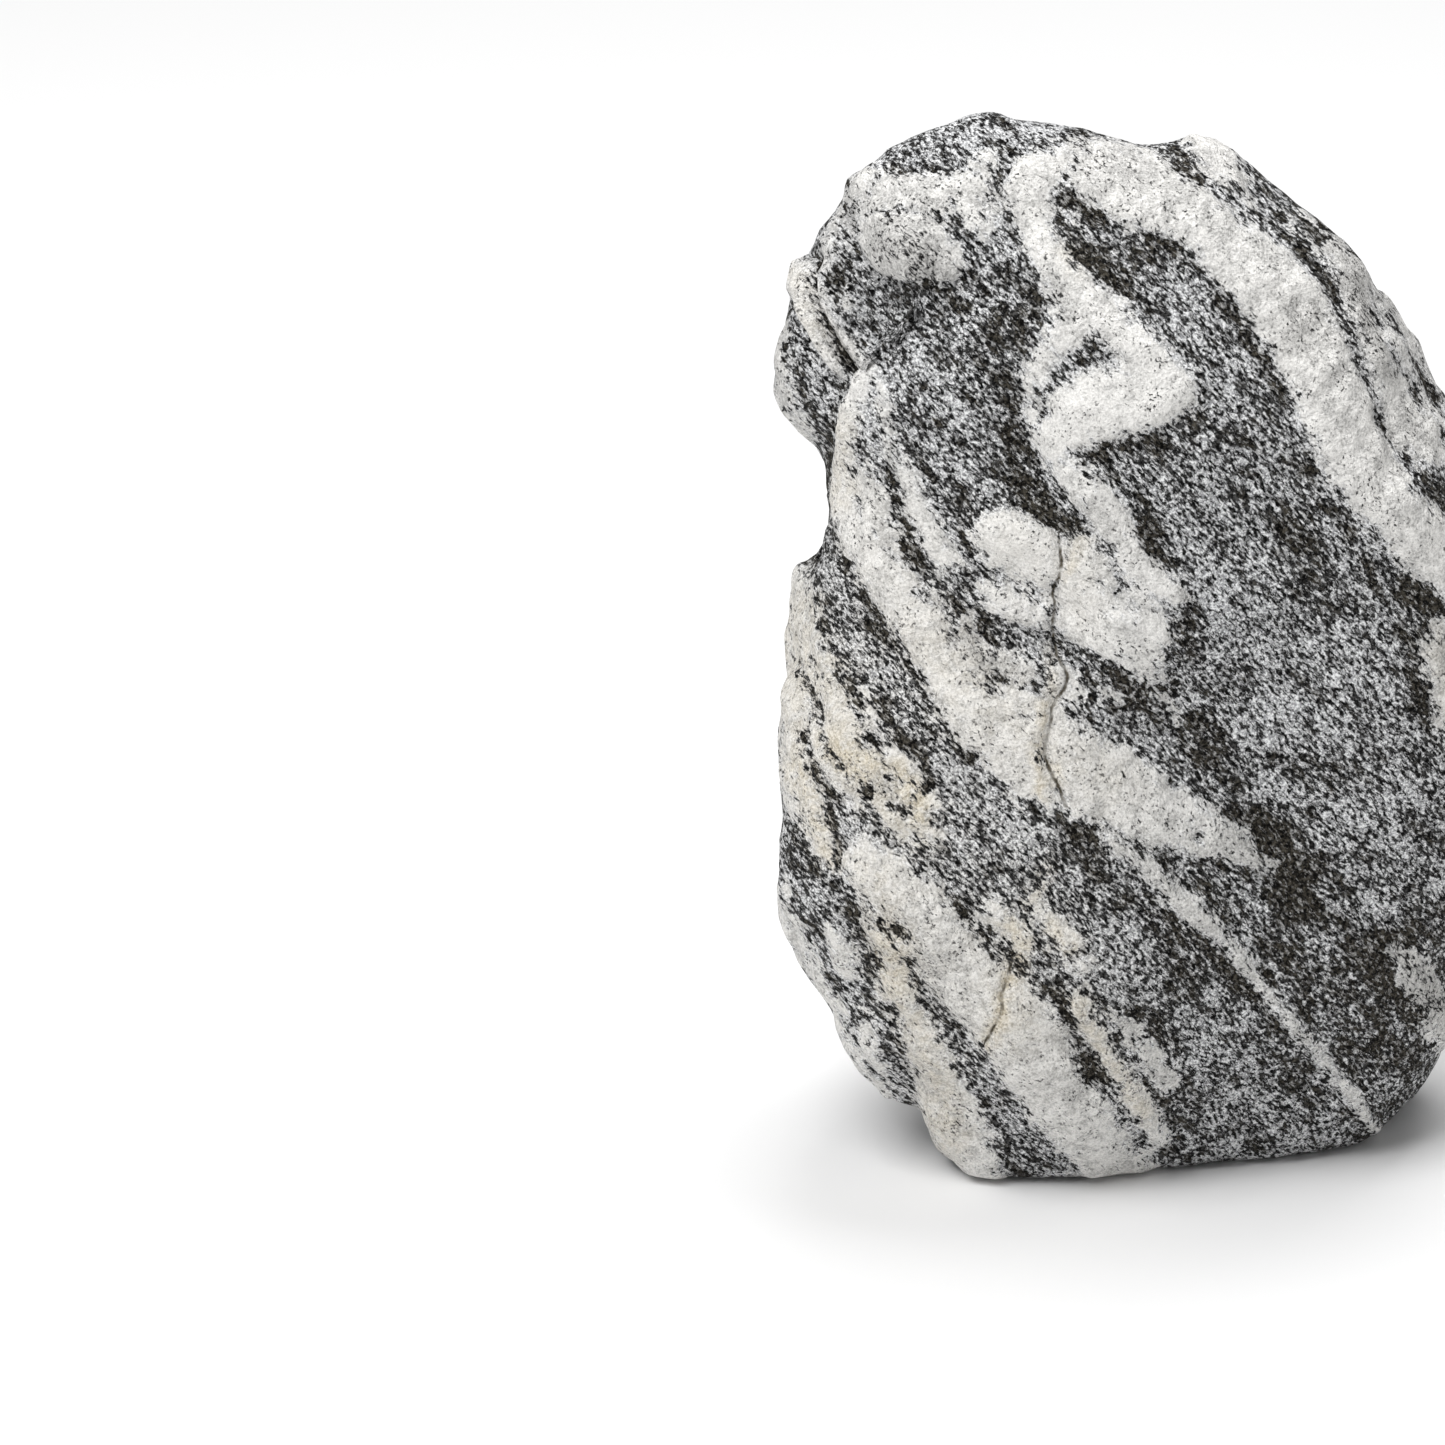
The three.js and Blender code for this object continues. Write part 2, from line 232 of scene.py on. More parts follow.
# %% Relief strokes
LEDGE_FACE = 3
FACE_RELIEF = {
    "boss at the upper left": (12, 5, (-58, 106), (-55, 98)),
    "crease beside the boss": (5, -2.5, (-72, 104), (-70, 98), (-65, 90)),
    "hollow under the boss": (8, -2.5, (-60, 86), (-48, 85), (-36, 87)),
    "rib of the lobe": (4.5, 2, (-82, 102), (-84, 90), (-79, 78), (-71, 69)),
    "ledge over the lobe": (16, -7, (-64, 76), (-69, 70), (-73, 60), (-75, 48), (-75, 36), (-77, 30)),
    "valley of the dark streak": (8, -2, (-33, 73), (-31, 56), (-27, 45)),
    "oval knob": (9, 3.4, (-32, 27), (-25.5, 23.5)),
    "half-moon under the knob": (5.5, 1.4, (-36, 12), (-29, 9.5), (-21, 10)),
    "crease under the half-moon": (5, -1.4, (-39, 4), (-28, 1), (-17, 0)),
    "valley of the crack": (8, -1.8, (-17, 14), (-18, 3), (-16, -9), (-21, -22), (-19, -35)),
    "long pale band": (
        8, 2, (-70, 62), (-71, 42), (-64, 18), (-52, 2), (-38, -16), (-17, -29), (8, -41), (30, -51),
    ),
    "pale fold, upper limb": (7, 1.8, (-25, 114), (-21, 100), (-10, 85), (8, 72), (17, 65)),
    "pale fold, lower limb": (7, 1.8, (10, 61), (-4, 58), (-15, 50), (-8, 36), (3, 24), (12, 16)),
    "pale lump by the crack": (9, 2.4, (-6, 12), (5, 4)),
    "pale band of the shoulder": (
        9, 2.2, (-15, 119), (12, 111), (32, 95), (47, 76), (57, 50), (72, 28), (86, 12),
    ),
    "broad band at the foot": (10, 2.4, (-64, -60), (-44, -78), (-26, -100), (-12, -118)),
    "outer band at the foot": (5, 2, (-61, -76), (-55, -95), (-47, -116)),
    "groove between the foot bands": (4.5, -2, (-56, -82), (-44, -97), (-33, -114), (-26, -122)),
    "groove by the outer foot band": (4.5, -1.8, (-78, -52), (-70, -68), (-61, -86), (-56, -108)),
    "groove by the broad foot band": (5, -1.8, (-57, -51), (-42, -63), (-28, -79), (-12, -103)),
    "thin vein": (5, 1.4, (-3, -50), (17, -68), (28, -80), (42, -96)),
    "hollow at the lower right": (16, -3, (40, -53), (62, -70)),
    "ridge along the right rim": (8, 2, (44, 108), (57, 84), (70, 56), (80, 30)),
}
BACK_RELIEF = {
    "high boss": (22, 6, (-30, 82), (-8, 66)),
    "hollow beside the boss": (13, -4.5, (18, 88), (26, 62), (22, 40)),
    "long ridge": (11, 4.5, (-66, 48), (-38, 20), (-6, -8), (28, -30), (62, -46)),
    "groove below the ridge": (6, -3.6, (-70, 18), (-44, -8), (-12, -34), (26, -56)),
    "lower ridge": (9, 3.2, (-62, -26), (-34, -50), (-4, -74), (20, -92)),
    "shoulder": (18, 5, (52, 24), (66, 2)),
    "low hollow": (16, -4, (-50, -88), (-30, -104)),
    "low boss": (14, 4, (48, -82), (40, -96)),
}


def drawn_relief(strokes, across, up):
    """The height of all strokes together.

    A stroke is highest on its line and falls off as a bell curve over its half-width. A
    ledge drops on its right side only, over a short face.
    """
    height = np.zeros(np.shape(across))
    for name, (half, rise, *line) in strokes.items():
        distance, right = from_line(across, up, line)
        bump = rise * np.exp(-((distance / half) ** 2))
        if name.startswith("ledge"):
            bump = bump * right * smooth(0, LEDGE_FACE, distance)
        height += bump
    return height


print("relief strokes:", len(FACE_RELIEF), "on the face,", len(BACK_RELIEF), "on the back")

# %% [markdown]
# ## The body
#
# Every direction from the middle of the stone meets its surface once, so the surface is a
# function of a direction. The body is a cushion: on the board it fills the outline, and
# its two sides bulge forwards and back, most at the belly. Its middle sheet leans forward
# off the board, so that the stone stands upright, and wanders to and fro at the rim.

# %% The body of the stone
FRONT_DEPTH = 60
BACK_DEPTH = 66
BELLY_UP = -34
BELLY_TAPER = 320
FORWARD_PER_UP = 0.34
SQUARENESS = 2.35
NOTCH_FADE = 5
RIM_HOLD = 24
RIM_WAVES = [(2, 8, 2.8), (3, 4, 5)]
WRAP = 0.8
FACE_FADE = (0.2, 0.65)
BACK_FADE = (-0.1, 0.5)


def body(direction, shift):
    """The cushion under the outline, with the drawn relief of its two sides.

    direction is (across, into the board, up). A rounded square profile gives how far it
    reaches. Its share on the board scales the outline's radius, and the rest, times the
    thickness there, is the depth behind the rim. Strokes are drawn where the point will be
    seen, which is off by the shift. Past the rim the drawing carries on outwards in step
    with that depth, so that strokes run round the side.
    """
    x, y, z = direction.T
    flat = np.hypot(x, z)
    angle = np.arctan2(z, x)
    reach = (flat ** SQUARENESS + abs(y) ** SQUARENESS) ** (-1 / SQUARENESS)
    near_rim = (reach * flat) ** NOTCH_FADE
    radius = reach * mix(rounded_radius(angle), outline_radius(angle), near_rim)
    across = radius * x
    up = radius * z
    half = np.where(y < 0, FRONT_DEPTH, BACK_DEPTH)
    thickness = (1 - ((up - BELLY_UP) / BELLY_TAPER) ** 2) * half
    behind = reach * y * thickness
    wrap = 1 + WRAP * np.maximum(0, behind) / np.maximum(1, radius * flat)
    drawn = (wrap * (across + shift[0]), wrap * (up + shift[1]))
    face = (1 - smooth(*FACE_FADE, y)) * drawn_relief(FACE_RELIEF, *drawn)
    back = smooth(*BACK_FADE, y) * drawn_relief(BACK_RELIEF, across, up)
    middle = -FORWARD_PER_UP * up
    for waves, depth, phase in RIM_WAVES:
        middle = middle + flat * depth * np.sin(waves * angle + phase)
    depth = middle + behind + smooth(0, RIM_HOLD, abs(behind)) * (back - face)
    return off_board(across, up, depth), behind, drawn


print("cushion, mm:", FRONT_DEPTH, "towards the eye and", BACK_DEPTH, "away from it")

# %% [markdown]
# ## Swells and sheets
#
# On top of the drawn form come slow swells: nine waves in directions spread evenly over a
# sphere, each shorter and lower than the last. Past the rim there is also the ripple of
# the sheets themselves. How far a place lies across the sheets is one number, which is
# used again for the bands of the sides and the back.

# %% Swells and sheets
SWELLS = 9
SWELL_LENGTH = 150
SWELL_RISE = 1.7
SWELL_SHRINK = 0.84
SWELL_PHASE = 1.7
GOLDEN_ANGLE = math.pi * (3 - math.sqrt(5))
BAND_ACROSS = np.array([0.71, 0.28, 0.64])
BAND_SPACING = 33
BAND_RISE = 1.1
BAND_BENDS = [(7, np.array([0.032, 0, 0.021])), (5, np.array([0, 0.043, 0]))]
CROWDING = 1.6
CROWDING_WAVE = 0.053


def swell(place):
    """The sum of sine waves along directions on a sphere, spaced by the golden angle."""
    height = np.zeros(len(place))
    for i in range(SWELLS):
        shrink = SWELL_SHRINK ** i
        z = 1 - (2 * i + 1) / SWELLS
        flat = math.sqrt(1 - z * z)
        turn = i * GOLDEN_ANGLE
        along = place @ [flat * math.cos(turn), flat * math.sin(turn), z]
        waves = math.tau * along / (SWELL_LENGTH * shrink)
        height += SWELL_RISE * shrink * np.sin(waves + SWELL_PHASE * i)
    return height


def across_sheets(place):
    """How far a place lies across the sheets, which two slow sines bend."""
    across = place @ BAND_ACROSS
    for shift, wave in BAND_BENDS:
        across = across + shift * np.sin(place @ wave)
    return across


def band_ripple(place):
    """An even wave across the sheets, crowded together and opened out by another."""
    across = across_sheets(place)
    crowding = CROWDING * np.sin(CROWDING_WAVE * across)
    return BAND_RISE * np.sin(math.tau / BAND_SPACING * across + crowding)


print("swells, mm long:", [round(SWELL_LENGTH * SWELL_SHRINK ** i) for i in range(SWELLS)])

# %% [markdown]
# ## The bands of the face
#
# The bands are what one knows this stone by: a tight fold near the crest, a broad band over
# the shoulder, a knob and a lump beside a crack, and a long band that sweeps down from the
# left. Each is a tapering stroke, placed on the board, and corrected where the render came
# out too bright or too dark beside the picture. Pale bands are painted first, dark ones
# over them, and the finest pale ones last.

# %% Pale bands of the upper half
# Each point is (across, up, half-width), in mm on the board.
PALE_BANDS = {
    "lobe upper rib": [
        (-84.5, 98, 1.6), (-84.3, 90, 1.9), (-83, 85, 2), (-81, 80.5, 2), (-79.2, 76.5, 1.9),
        (-76.8, 72.5, 1.7), (-74.8, 69, 1.2),
    ],
    "lobe lower rib": [
        (-79, 94.5, 1.1), (-79, 91, 1.4), (-78.3, 88, 1.2), (-76.5, 84.5, 1), (-74.7, 80.5, 1),
        (-72.7, 77.3, 1.1), (-71, 74.8, 1.3), (-69.5, 72.8, 1.1),
    ],
    "lobe rim": [(-89, 82, 1), (-89, 74, 1.2), (-88, 66, 1.8), (-86, 59, 1.8), (-83.5, 52, 1.2)],
    "upper left patches": [
        (-67, 117, 2.2), (-61, 114.5, 4.5), (-52, 114, 5), (-45, 112.5, 5), (-40, 110, 4.5),
        (-37, 106.5, 3),
    ],
    "upper left boss": [
        (-66, 106, 4), (-62, 101.5, 7), (-54, 100.5, 8.5), (-49, 97, 5.5), (-46, 94.5, 3.5),
    ],
    "fold, upper limb": [
        (-24.5, 119, 5.5), (-25.3, 114.5, 6), (-26, 110, 5.8), (-24, 105, 3.9), (-22, 100, 3.9),
        (-19.5, 96, 3.8), (-15.5, 90.5, 4), (-9, 86.2, 4.9), (-3, 79.4, 4.6), (3, 74, 4.8),
        (8.5, 68.8, 5), (12.5, 65.5, 4),
    ],
    "fold, mass": [
        (10, 64, 7.2), (4, 63, 8.3), (-2, 62.5, 8.4), (-8, 61, 9.4), (-14, 57.5, 8), (-19, 53, 5.2),
    ],
    "fold, inner side": [(-19, 75, 2.4), (-14.5, 80, 4.4), (-13, 86, 5), (-13.5, 91, 4.6)],
    "fold, left sliver": [(-25.5, 68, 1.4), (-26.3, 62, 1.6), (-25.5, 56, 1.9), (-23, 50, 1.9)],
    "fold, lower limb": [
        (-20.5, 50, 3.4), (-18.3, 46, 3.2), (-14, 42.3, 3.6), (-10.3, 39, 4.3), (-7, 35, 4.8),
        (-4, 30, 4.6), (-1, 25, 4.2), (2, 21, 4), (6, 17, 3.5), (10, 15, 3.2), (12, 13, 2),
    ],
    "shoulder band": [
        (-25, 120, 4), (-18, 121.4, 4.5), (-12.5, 121, 6.8), (-8, 119.8, 7.8), (-3, 117.8, 9),
        (2, 116, 10), (10, 112, 8.2), (18, 107, 7.5), (26, 100, 8.3), (33, 93, 9.3), (39, 86, 9.4),
        (44, 78, 9.2), (48.5, 70, 9.2), (51.5, 62, 9), (54, 55, 8.6), (57.5, 47.5, 8.4), (63, 40.5, 8),
        (68.5, 33.5, 8), (76, 25, 7.8), (88, 15, 7), (100, 3, 6.5), (110, -14, 6),
    ],
    "shoulder corner": [(19, 127, 5.5), (23, 122, 5), (27, 118, 3.4), (30, 114, 1.6)],
    "outer shoulder": [
        (43, 108, 1.8), (51, 100, 3), (57, 91, 4.2), (62, 80, 5), (67, 67, 5.4), (72, 55, 6),
        (78, 47, 4),
    ],
    "knob": [(-33.5, 28.2, 6.3), (-27.5, 25.5, 7.6), (-23.5, 21.5, 6.9), (-20.5, 17.3, 4.2)],
    "half-moon": [(-37, 14.8, 1.4), (-33, 12.2, 3.4), (-27, 10, 4.6), (-21.5, 8.8, 4)],
    "lump, upper": [(-13, 24, 4), (-13, 16, 5), (-12, 9, 5.5)],
    "long band, upper": [
        (-66.5, 71, 1.2), (-69, 67, 3.2), (-71.2, 61, 3.6), (-72.5, 54, 2.6), (-73, 46, 2.4),
        (-73, 39, 2.4), (-71.5, 33, 3), (-68, 28, 5), (-64.5, 21, 6), (-59, 13.5, 6.6), (-53, 7, 6.2),
    ],
    "long band, mottled side": [(-67, 42, 3), (-65, 36, 4), (-62, 28, 3.5)],
    "beside the long band": [
        (-63.5, 66, 1), (-62, 57, 1.2), (-60.5, 50, 1.2), (-58, 45, 1.6), (-56, 41, 2.1),
        (-54, 36, 2.5), (-52.3, 31, 2.7), (-49, 26, 2.7), (-46.5, 22.5, 1.8),
    ],
    "patches, right side": [(-44, 114, 4.5), (-38.5, 115, 4.5), (-36, 119.5, 1.8)],
    "left flank, upper": [
        (-64, 120, 1.6), (-69, 115.5, 3), (-73.5, 108, 2.6), (-76.5, 101, 3), (-78, 96.5, 2),
    ],
    "left flank, lower": [(-75, 91, 1), (-72, 87, 1)],
    "lump, right side": [(-9, 22, 3.5), (-5, 17, 5), (0, 11, 5), (6, 6.5, 4.5)],
    "boss, left part": [(-65, 111, 3), (-65, 103, 4.8), (-63, 96, 5.2)],
    "cap inlet": [(-39, 121, 1.6), (-35, 122.3, 1.5)],
    "shoulder rim strip": [
        (63, 90, 0.8), (66, 86, 1.5), (70, 79, 2.1), (73, 72, 2.1), (76, 65, 2.1), (80, 57, 2.4),
    ],
    "fold, left of the wisp": [(-23.5, 69, 2.4), (-21.5, 74, 2.6), (-18, 77, 2.8)],
}
print("pale bands so far:", len(PALE_BANDS))

# %% Pale bands of the lower half
PALE_BANDS.update({
    "lump, lower": [(-12, 6, 5.5), (-4, 4, 6), (4, 3, 6), (3, -3, 5), (6, -7, 2.5)],
    "long band": [
        (-50, 2, 5.5), (-46, -6, 5.5), (-40, -15, 6.5), (-32, -22, 9), (-24, -27, 10.4),
        (-15, -30, 10.6), (-6, -34.5, 9.8), (2, -38.5, 9), (10, -42, 7.5), (18, -45.5, 6),
        (25, -49, 4.5), (31, -52, 2), (36, -53.5, 1),
    ],
    "long band, grey part": [(-43, 6, 2), (-41, 0, 3), (-35, -5, 4.5), (-27, -6, 4)],
    "thin vein": [
        (-7, -46, 1.3), (-3, -49, 1.4), (1, -52, 1.6), (5, -55, 2), (8, -58, 2.2), (11, -62, 2.4),
        (15, -65, 3.2), (18, -67.5, 2.7), (22, -72, 1.5), (25, -75, 1.3), (28, -78, 1.7),
        (31, -82, 1.4), (34, -86, 1.2), (38, -91, 1.1), (42, -95, 1.1), (47, -101, 1), (56, -112, 1),
        (66, -126, 1),
    ],
    "left rim": [
        (-83.5, 21, 1.6), (-83, 12, 2.6), (-83, 5, 3), (-83.5, -2, 3), (-84.5, -10, 2.8),
        (-86, -20, 3), (-85.5, -30, 2.4), (-85, -40, 1.6),
    ],
    "left pale zone": [
        (-80, 3, 1.5), (-78, -3, 2.5), (-76, -10, 3.5), (-74.5, -17, 4.8), (-73.5, -23, 5),
        (-71.5, -29, 5), (-69, -35, 4.2),
    ],
    "left sliver": [(-68, -11, 0.8), (-65, -16, 1.3), (-63.5, -21, 1.2)],
    "cream patch": [(-61, -27, 2.2), (-57.5, -29, 3.2), (-55.5, -33, 2)],
    "cream zone": [(-66, -29, 3.5), (-63, -34, 4.3), (-59, -40, 4.4), (-55, -43, 3.8), (-51, -46, 2.4)],
    "cream strip": [
        (-84, -28, 1.5), (-82.2, -34, 2.2), (-80.7, -40, 2.4), (-79, -45, 2.2), (-77.5, -50, 1.5),
        (-76.8, -54, 0.8),
    ],
    "white spot": [(-50, -38.5, 1.6), (-48.5, -39, 1)],
    "broad foot band": [
        (-68, -54, 5), (-62, -59, 7), (-55, -66, 8), (-48.5, -73.5, 8.8), (-43, -81, 9.8),
        (-36, -88, 9.8), (-30, -95, 10), (-24, -101, 9.5), (-20, -108, 9), (-15, -115, 8),
        (-8, -124, 8), (0, -135, 8),
    ],
    "outer foot band": [
        (-68, -66, 1.2), (-65, -70.5, 1.7), (-62.5, -75.5, 2.6), (-60.8, -80, 2.8), (-59, -86, 3.2),
        (-56.5, -92, 3.6), (-53.7, -98, 4.4), (-51, -104, 5), (-48.5, -110, 5.6), (-45.5, -116, 6.4),
        (-42.5, -122, 6.8), (-38, -128, 4.5), (-34, -140, 4),
    ],
    "foot rim": [
        (-89, -60, 1.6), (-88.3, -66, 1.6), (-86, -71, 1.6), (-83.5, -75, 1.6), (-81, -79, 1.4),
        (-78.5, -84, 1.2), (-76, -90, 1.2), (-74, -95, 1.3), (-71.5, -99.5, 1.4), (-69, -104, 1.3),
        (-66, -108, 1.2), (-62, -111.5, 1),
    ],
    "foot spot, upper": [(-75, -70.5, 1.2), (-73.5, -75, 2.8), (-72, -80, 2.3)],
    "foot spot, lower": [(-67.8, -93, 0.7), (-67, -98, 1.5), (-65, -103, 1.8), (-63.3, -105.5, 0.8)],
    "white by dark crook": [(-35, -66, 2.2), (-31, -69.5, 2), (-27.5, -73, 1.6)],
    "pinkish streak": [(-21, -68, 1), (-18, -71, 2), (-15, -73.5, 2.2)],
    "cream foot strip": [
        (-14, -86, 1.3), (-12.5, -90, 2), (-11, -94, 1.7), (-9, -97, 2), (-7, -101, 2.2),
        (-5, -105, 2.5), (-2, -109, 2.8), (1, -113, 3), (6, -122, 3),
    ],
    "lilac streak": [(-4, -92, 0.9), (0, -95, 1.5), (3, -99, 2), (6, -104, 3), (9, -108, 3)],
    "right edge": [
        (78, 4, 2), (78, -3, 3.5), (80, -9, 4.8), (84, -18, 5.5), (91, -32, 5), (98, -50, 5),
    ],
    "right edge patch": [(67, -76, 2), (71, -80, 4), (74, -86, 4.5), (80, -96, 4)],
    "by the crack": [(-14.5, -9.5, 2), (-14, -12.5, 1.6)],
    "beside the crack": [(-18, -3.5, 1.4), (-17.6, -8, 1.5)],
    "long band, upper side": [(-35, -13, 2.6), (-28, -12.5, 3), (-20, -15.5, 3)],
    "long band, lower side": [(-45, -16, 3), (-40, -22, 3.4), (-33, -28, 4), (-26, -33, 4.5)],
    "left pale zone, rim": [
        (-80.5, -19, 1.2), (-79.3, -23, 1.8), (-77, -27.5, 2), (-75, -31.5, 1.8), (-72.5, -35, 1.6),
    ],
})
print("pale bands:", len(PALE_BANDS), "of", sum(map(len, PALE_BANDS.values())), "points")

# %% Dark bands of the upper half
# The same, for what cuts into the pale bands.
DARK_BANDS = {
    # Painted shadow: this thin dark line is the shade in the crease beside the boss.
    "crease by boss": [
        (-71.8, 103, 0.6), (-71, 99, 0.8), (-69, 95, 0.8), (-66.5, 92, 0.7), (-63, 90, 0.6),
    ],
    "blob by boss": [(-44.5, 109, 1.4), (-43.2, 105, 1.8), (-41, 101.5, 2.2), (-42, 98, 2.2)],
    "streak by fold": [(-29, 122.5, 0.6), (-33, 118.5, 2.3), (-34.6, 115, 2.3), (-36, 111.5, 1.2)],
    "streak at fold": [(-31, 109, 0.9), (-30.4, 105, 1.3), (-28, 103.5, 1.3)],
    # Painted shadow: the dark line of the lobe groove stands for the shade in the groove.
    "lobe groove": [
        (-81, 99, 0.9), (-81, 95, 1), (-81.5, 90, 0.8), (-80.3, 86, 1), (-78.4, 83, 1),
        (-76.4, 80, 0.8), (-75, 77.3, 0.7), (-73.5, 74.5, 0.8), (-71.3, 71.3, 1.3),
    ],
    "wisp end": [(-8.5, 71, 0.8), (-5.5, 69.8, 0.8)],
    "wedge under fold": [(4, 48.5, 3.6), (-1, 49.6, 2.4), (-6, 51, 1.6), (-9.5, 51.8, 0.8)],
    "spot in fold": [(-24, 63, 1.4), (-22.5, 59.5, 2.3), (-24.5, 56.5, 0.8)],
    "shoulder line": [
        (11.5, 126, 2.8), (12.5, 122.5, 2.8), (16, 118.5, 2), (21, 115.3, 1.6), (25, 112.3, 2),
        (29, 109, 2.3), (34, 106.3, 2.2), (39, 103, 2.4), (44, 99, 2.2), (48, 94.3, 2.2), (51, 89, 2),
        (53.7, 82.5, 1.8), (56.5, 75.5, 1.6), (59, 69, 1.3), (61, 64, 0.8), (62.3, 61, 0.4),
    ],
    "upper shoulder line": [
        (31, 120, 0.8), (32.5, 115.5, 0.9), (36, 112, 0.9), (40, 110, 1), (44, 107.5, 1.6),
        (48, 103.5, 1.8),
    ],
    "shoulder stripe 4": [(71.5, 69, 0.4), (72.8, 65, 0.6), (74, 61, 0.6), (75.8, 58.5, 0.4)],
    "shoulder wedge": [(70.5, 45, 1.6), (74, 43, 3.8), (78, 41, 6), (85, 38, 7), (96, 28, 6)],
    "between the long bands": [
        (-64.8, 50, 0.7), (-63.5, 47, 1.1), (-61, 43, 1.5), (-59.8, 40, 1.6), (-59, 36, 1.7),
        (-57.5, 32, 2), (-56, 28, 2.4), (-54, 24, 2.8), (-52, 20, 2.8), (-49, 17, 2.6),
    ],
    "notch of long band": [(-54, 14.3, 0.8), (-50.5, 13.8, 1), (-48.5, 11, 0.9)],
    "wisp over half-moon": [(-32, 18, 0.8), (-29.5, 15, 0.9), (-27, 13.8, 0.8)],
    "wisp in half-moon": [(-25, 13.2, 0.8), (-20, 13.2, 1.2)],
    "crack, upper": [(-19.3, 16, 0.9), (-18.6, 11, 0.9), (-19, 5, 1)],
    "wisp in lump": [
        (-4, 27, 0.4), (-5, 23.5, 0.5), (-3, 20, 0.5), (-1.5, 15.5, 1.3), (-4.5, 12.7, 1.2),
    ],
    "spots in lump": [(-8, 17, 0.6), (-6, 15.3, 0.8)],
    "flecks of crest": [(-14, 123.5, 0.2), (-16, 120.5, 0.3), (-17, 117.5, 0.4)],
    "second shoulder line": [(60.8, 90.5, 0.5), (62.3, 85, 0.8), (64, 81, 0.8)],
    "below the knob": [(-40, 15.5, 1), (-37, 18, 1.5), (-35, 19.5, 0.9)],
    "lobe seam": [(-86, 87, 0.3), (-84, 82, 0.5), (-82, 78.5, 0.5), (-80, 74.5, 0.5)],
    "left flank dark": [(-73.3, 111, 0.4), (-73.8, 107, 0.9), (-74, 102, 1.6), (-73.2, 98.5, 1.6)],
    "third shoulder line": [(64.3, 78, 0.7), (66.8, 73.5, 1.2), (69.8, 70, 0.9)],
    "shoulder rim": [(65, 84.8, 0.7), (67, 81.5, 1), (69.3, 78.3, 0.9)],
    "shoulder rim, low": [
        (70.7, 75.3, 0.8), (72.8, 72, 1.4), (74.8, 67.5, 1.1), (77.3, 63, 1.1), (79.5, 58, 1),
    ],
    "left of the limb, dark": [(-37, 111.5, 1), (-37.2, 107, 0.8)],
    "wedge under fold, low": [(0, 46.5, 2), (-6, 46.8, 1.6), (-12, 46.8, 1), (-16.5, 48, 0.6)],
}
print("dark bands so far:", len(DARK_BANDS))

# %% Dark bands of the lower half
DARK_BANDS.update({
    "wisp under lump": [(-3, 10.6, 0.8), (2, 10.2, 0.8), (6, 9.6, 0.9), (11, 8, 1.2)],
    "spots of grey part": [(-34, -6.5, 0.8), (-31, -7.8, 1.4)],
    "crack, middle": [(-21.7, -20, 0.5), (-22.2, -24.5, 0.8), (-21, -29, 0.5)],
    "crack, low": [(-19, -35.5, 0.6), (-15.5, -39.5, 0.8)],
    "notch low": [(14.7, -43.5, 0.7), (17.5, -48, 0.9)],
    "rim streak": [(-84, -3, 0.5), (-83.2, -7, 0.4)],
    "left streak": [(-82, -8, 0.9), (-80.3, -11, 1), (-79.3, -15, 0.9), (-78.5, -18, 0.6)],
    "left streak 2": [
        (-74, -6, 0.7), (-72, -8.5, 1.1), (-70, -11, 1.2), (-68.5, -14, 1), (-67.3, -18, 0.7),
        (-64.8, -22, 0.8), (-63, -26, 0.8), (-62, -29.5, 0.8), (-60, -32.5, 0.7), (-57.3, -34, 0.6),
    ],
    "left patch 1": [(-81, -29.5, 0.8), (-79, -32.5, 1.7), (-77.5, -34.5, 0.9)],
    "left patch 3": [(-77.3, -42, 1.2), (-75.3, -44.3, 1.3)],
    "left patch 4": [(-84, -20, 0.7), (-82.8, -23, 0.9), (-81.3, -27, 0.9)],
    "cream spot": [(-55, -37, 0.9), (-53.3, -37.8, 1.2)],
    "cream streak 1": [(-66, -36.5, 0.5), (-63.5, -39.3, 0.8), (-59, -40.3, 0.8), (-54, -39.3, 0.8)],
    "dark crook start": [
        (-62, -47, 0.4), (-58, -50.5, 0.6), (-54, -53.5, 0.8), (-51, -55, 1), (-48, -57, 1.4),
        (-45, -61, 2), (-41, -66, 2.9), (-38, -70, 2.4), (-34, -74, 2.1), (-31, -78, 1.4),
    ],
    "cream streak 3": [(-55, -46.5, 0.5), (-51, -48.5, 0.6), (-48, -52, 0.8)],
    "outer groove": [
        (-84.5, -43, 0.5), (-82.8, -48, 1), (-81.2, -53, 1.5), (-78.6, -57, 2.2), (-76, -60, 2.4),
        (-73, -64, 2), (-70.5, -68, 1.8), (-68, -72, 1.8), (-66, -76, 1.6), (-64.4, -81, 1.5),
        (-63.2, -86, 1.5), (-61.6, -91, 1.7), (-60.2, -96, 1.7), (-58.6, -101, 1.8), (-57, -106, 1.7),
        (-55, -111, 1.5), (-53, -117, 1),
    ],
    "groove branch": [(-74.3, -49, 1.1), (-74.6, -53, 1.5), (-75.5, -57, 1.5)],
    "foot groove top": [(-64.5, -69.3, 0.9), (-60, -70, 1.3), (-57, -71, 0.7)],
    "crook of foot band": [
        (-23, -83.5, 1.6), (-19, -84.5, 2.6), (-16.5, -88, 2.3), (-15.5, -93, 1.9), (-13.5, -98, 2),
        (-11, -103, 2.9), (-8, -107, 2.7), (-5, -111, 2.5), (-3, -115, 2.5), (2, -123, 3),
    ],
    "black spot": [(3, -107, 1.6), (5, -111, 1.6)],
    "cream streak 4": [
        (-79.5, -20, 0.4), (-76.8, -23.3, 0.5), (-74, -28.5, 0.8), (-71, -31.8, 0.6),
        (-68, -33.5, 0.9), (-66.5, -36, 0.6),
    ],
    "line over the foot band": [(-71, -65, 0.6), (-66, -69, 0.8), (-58, -71, 0.6)],
})
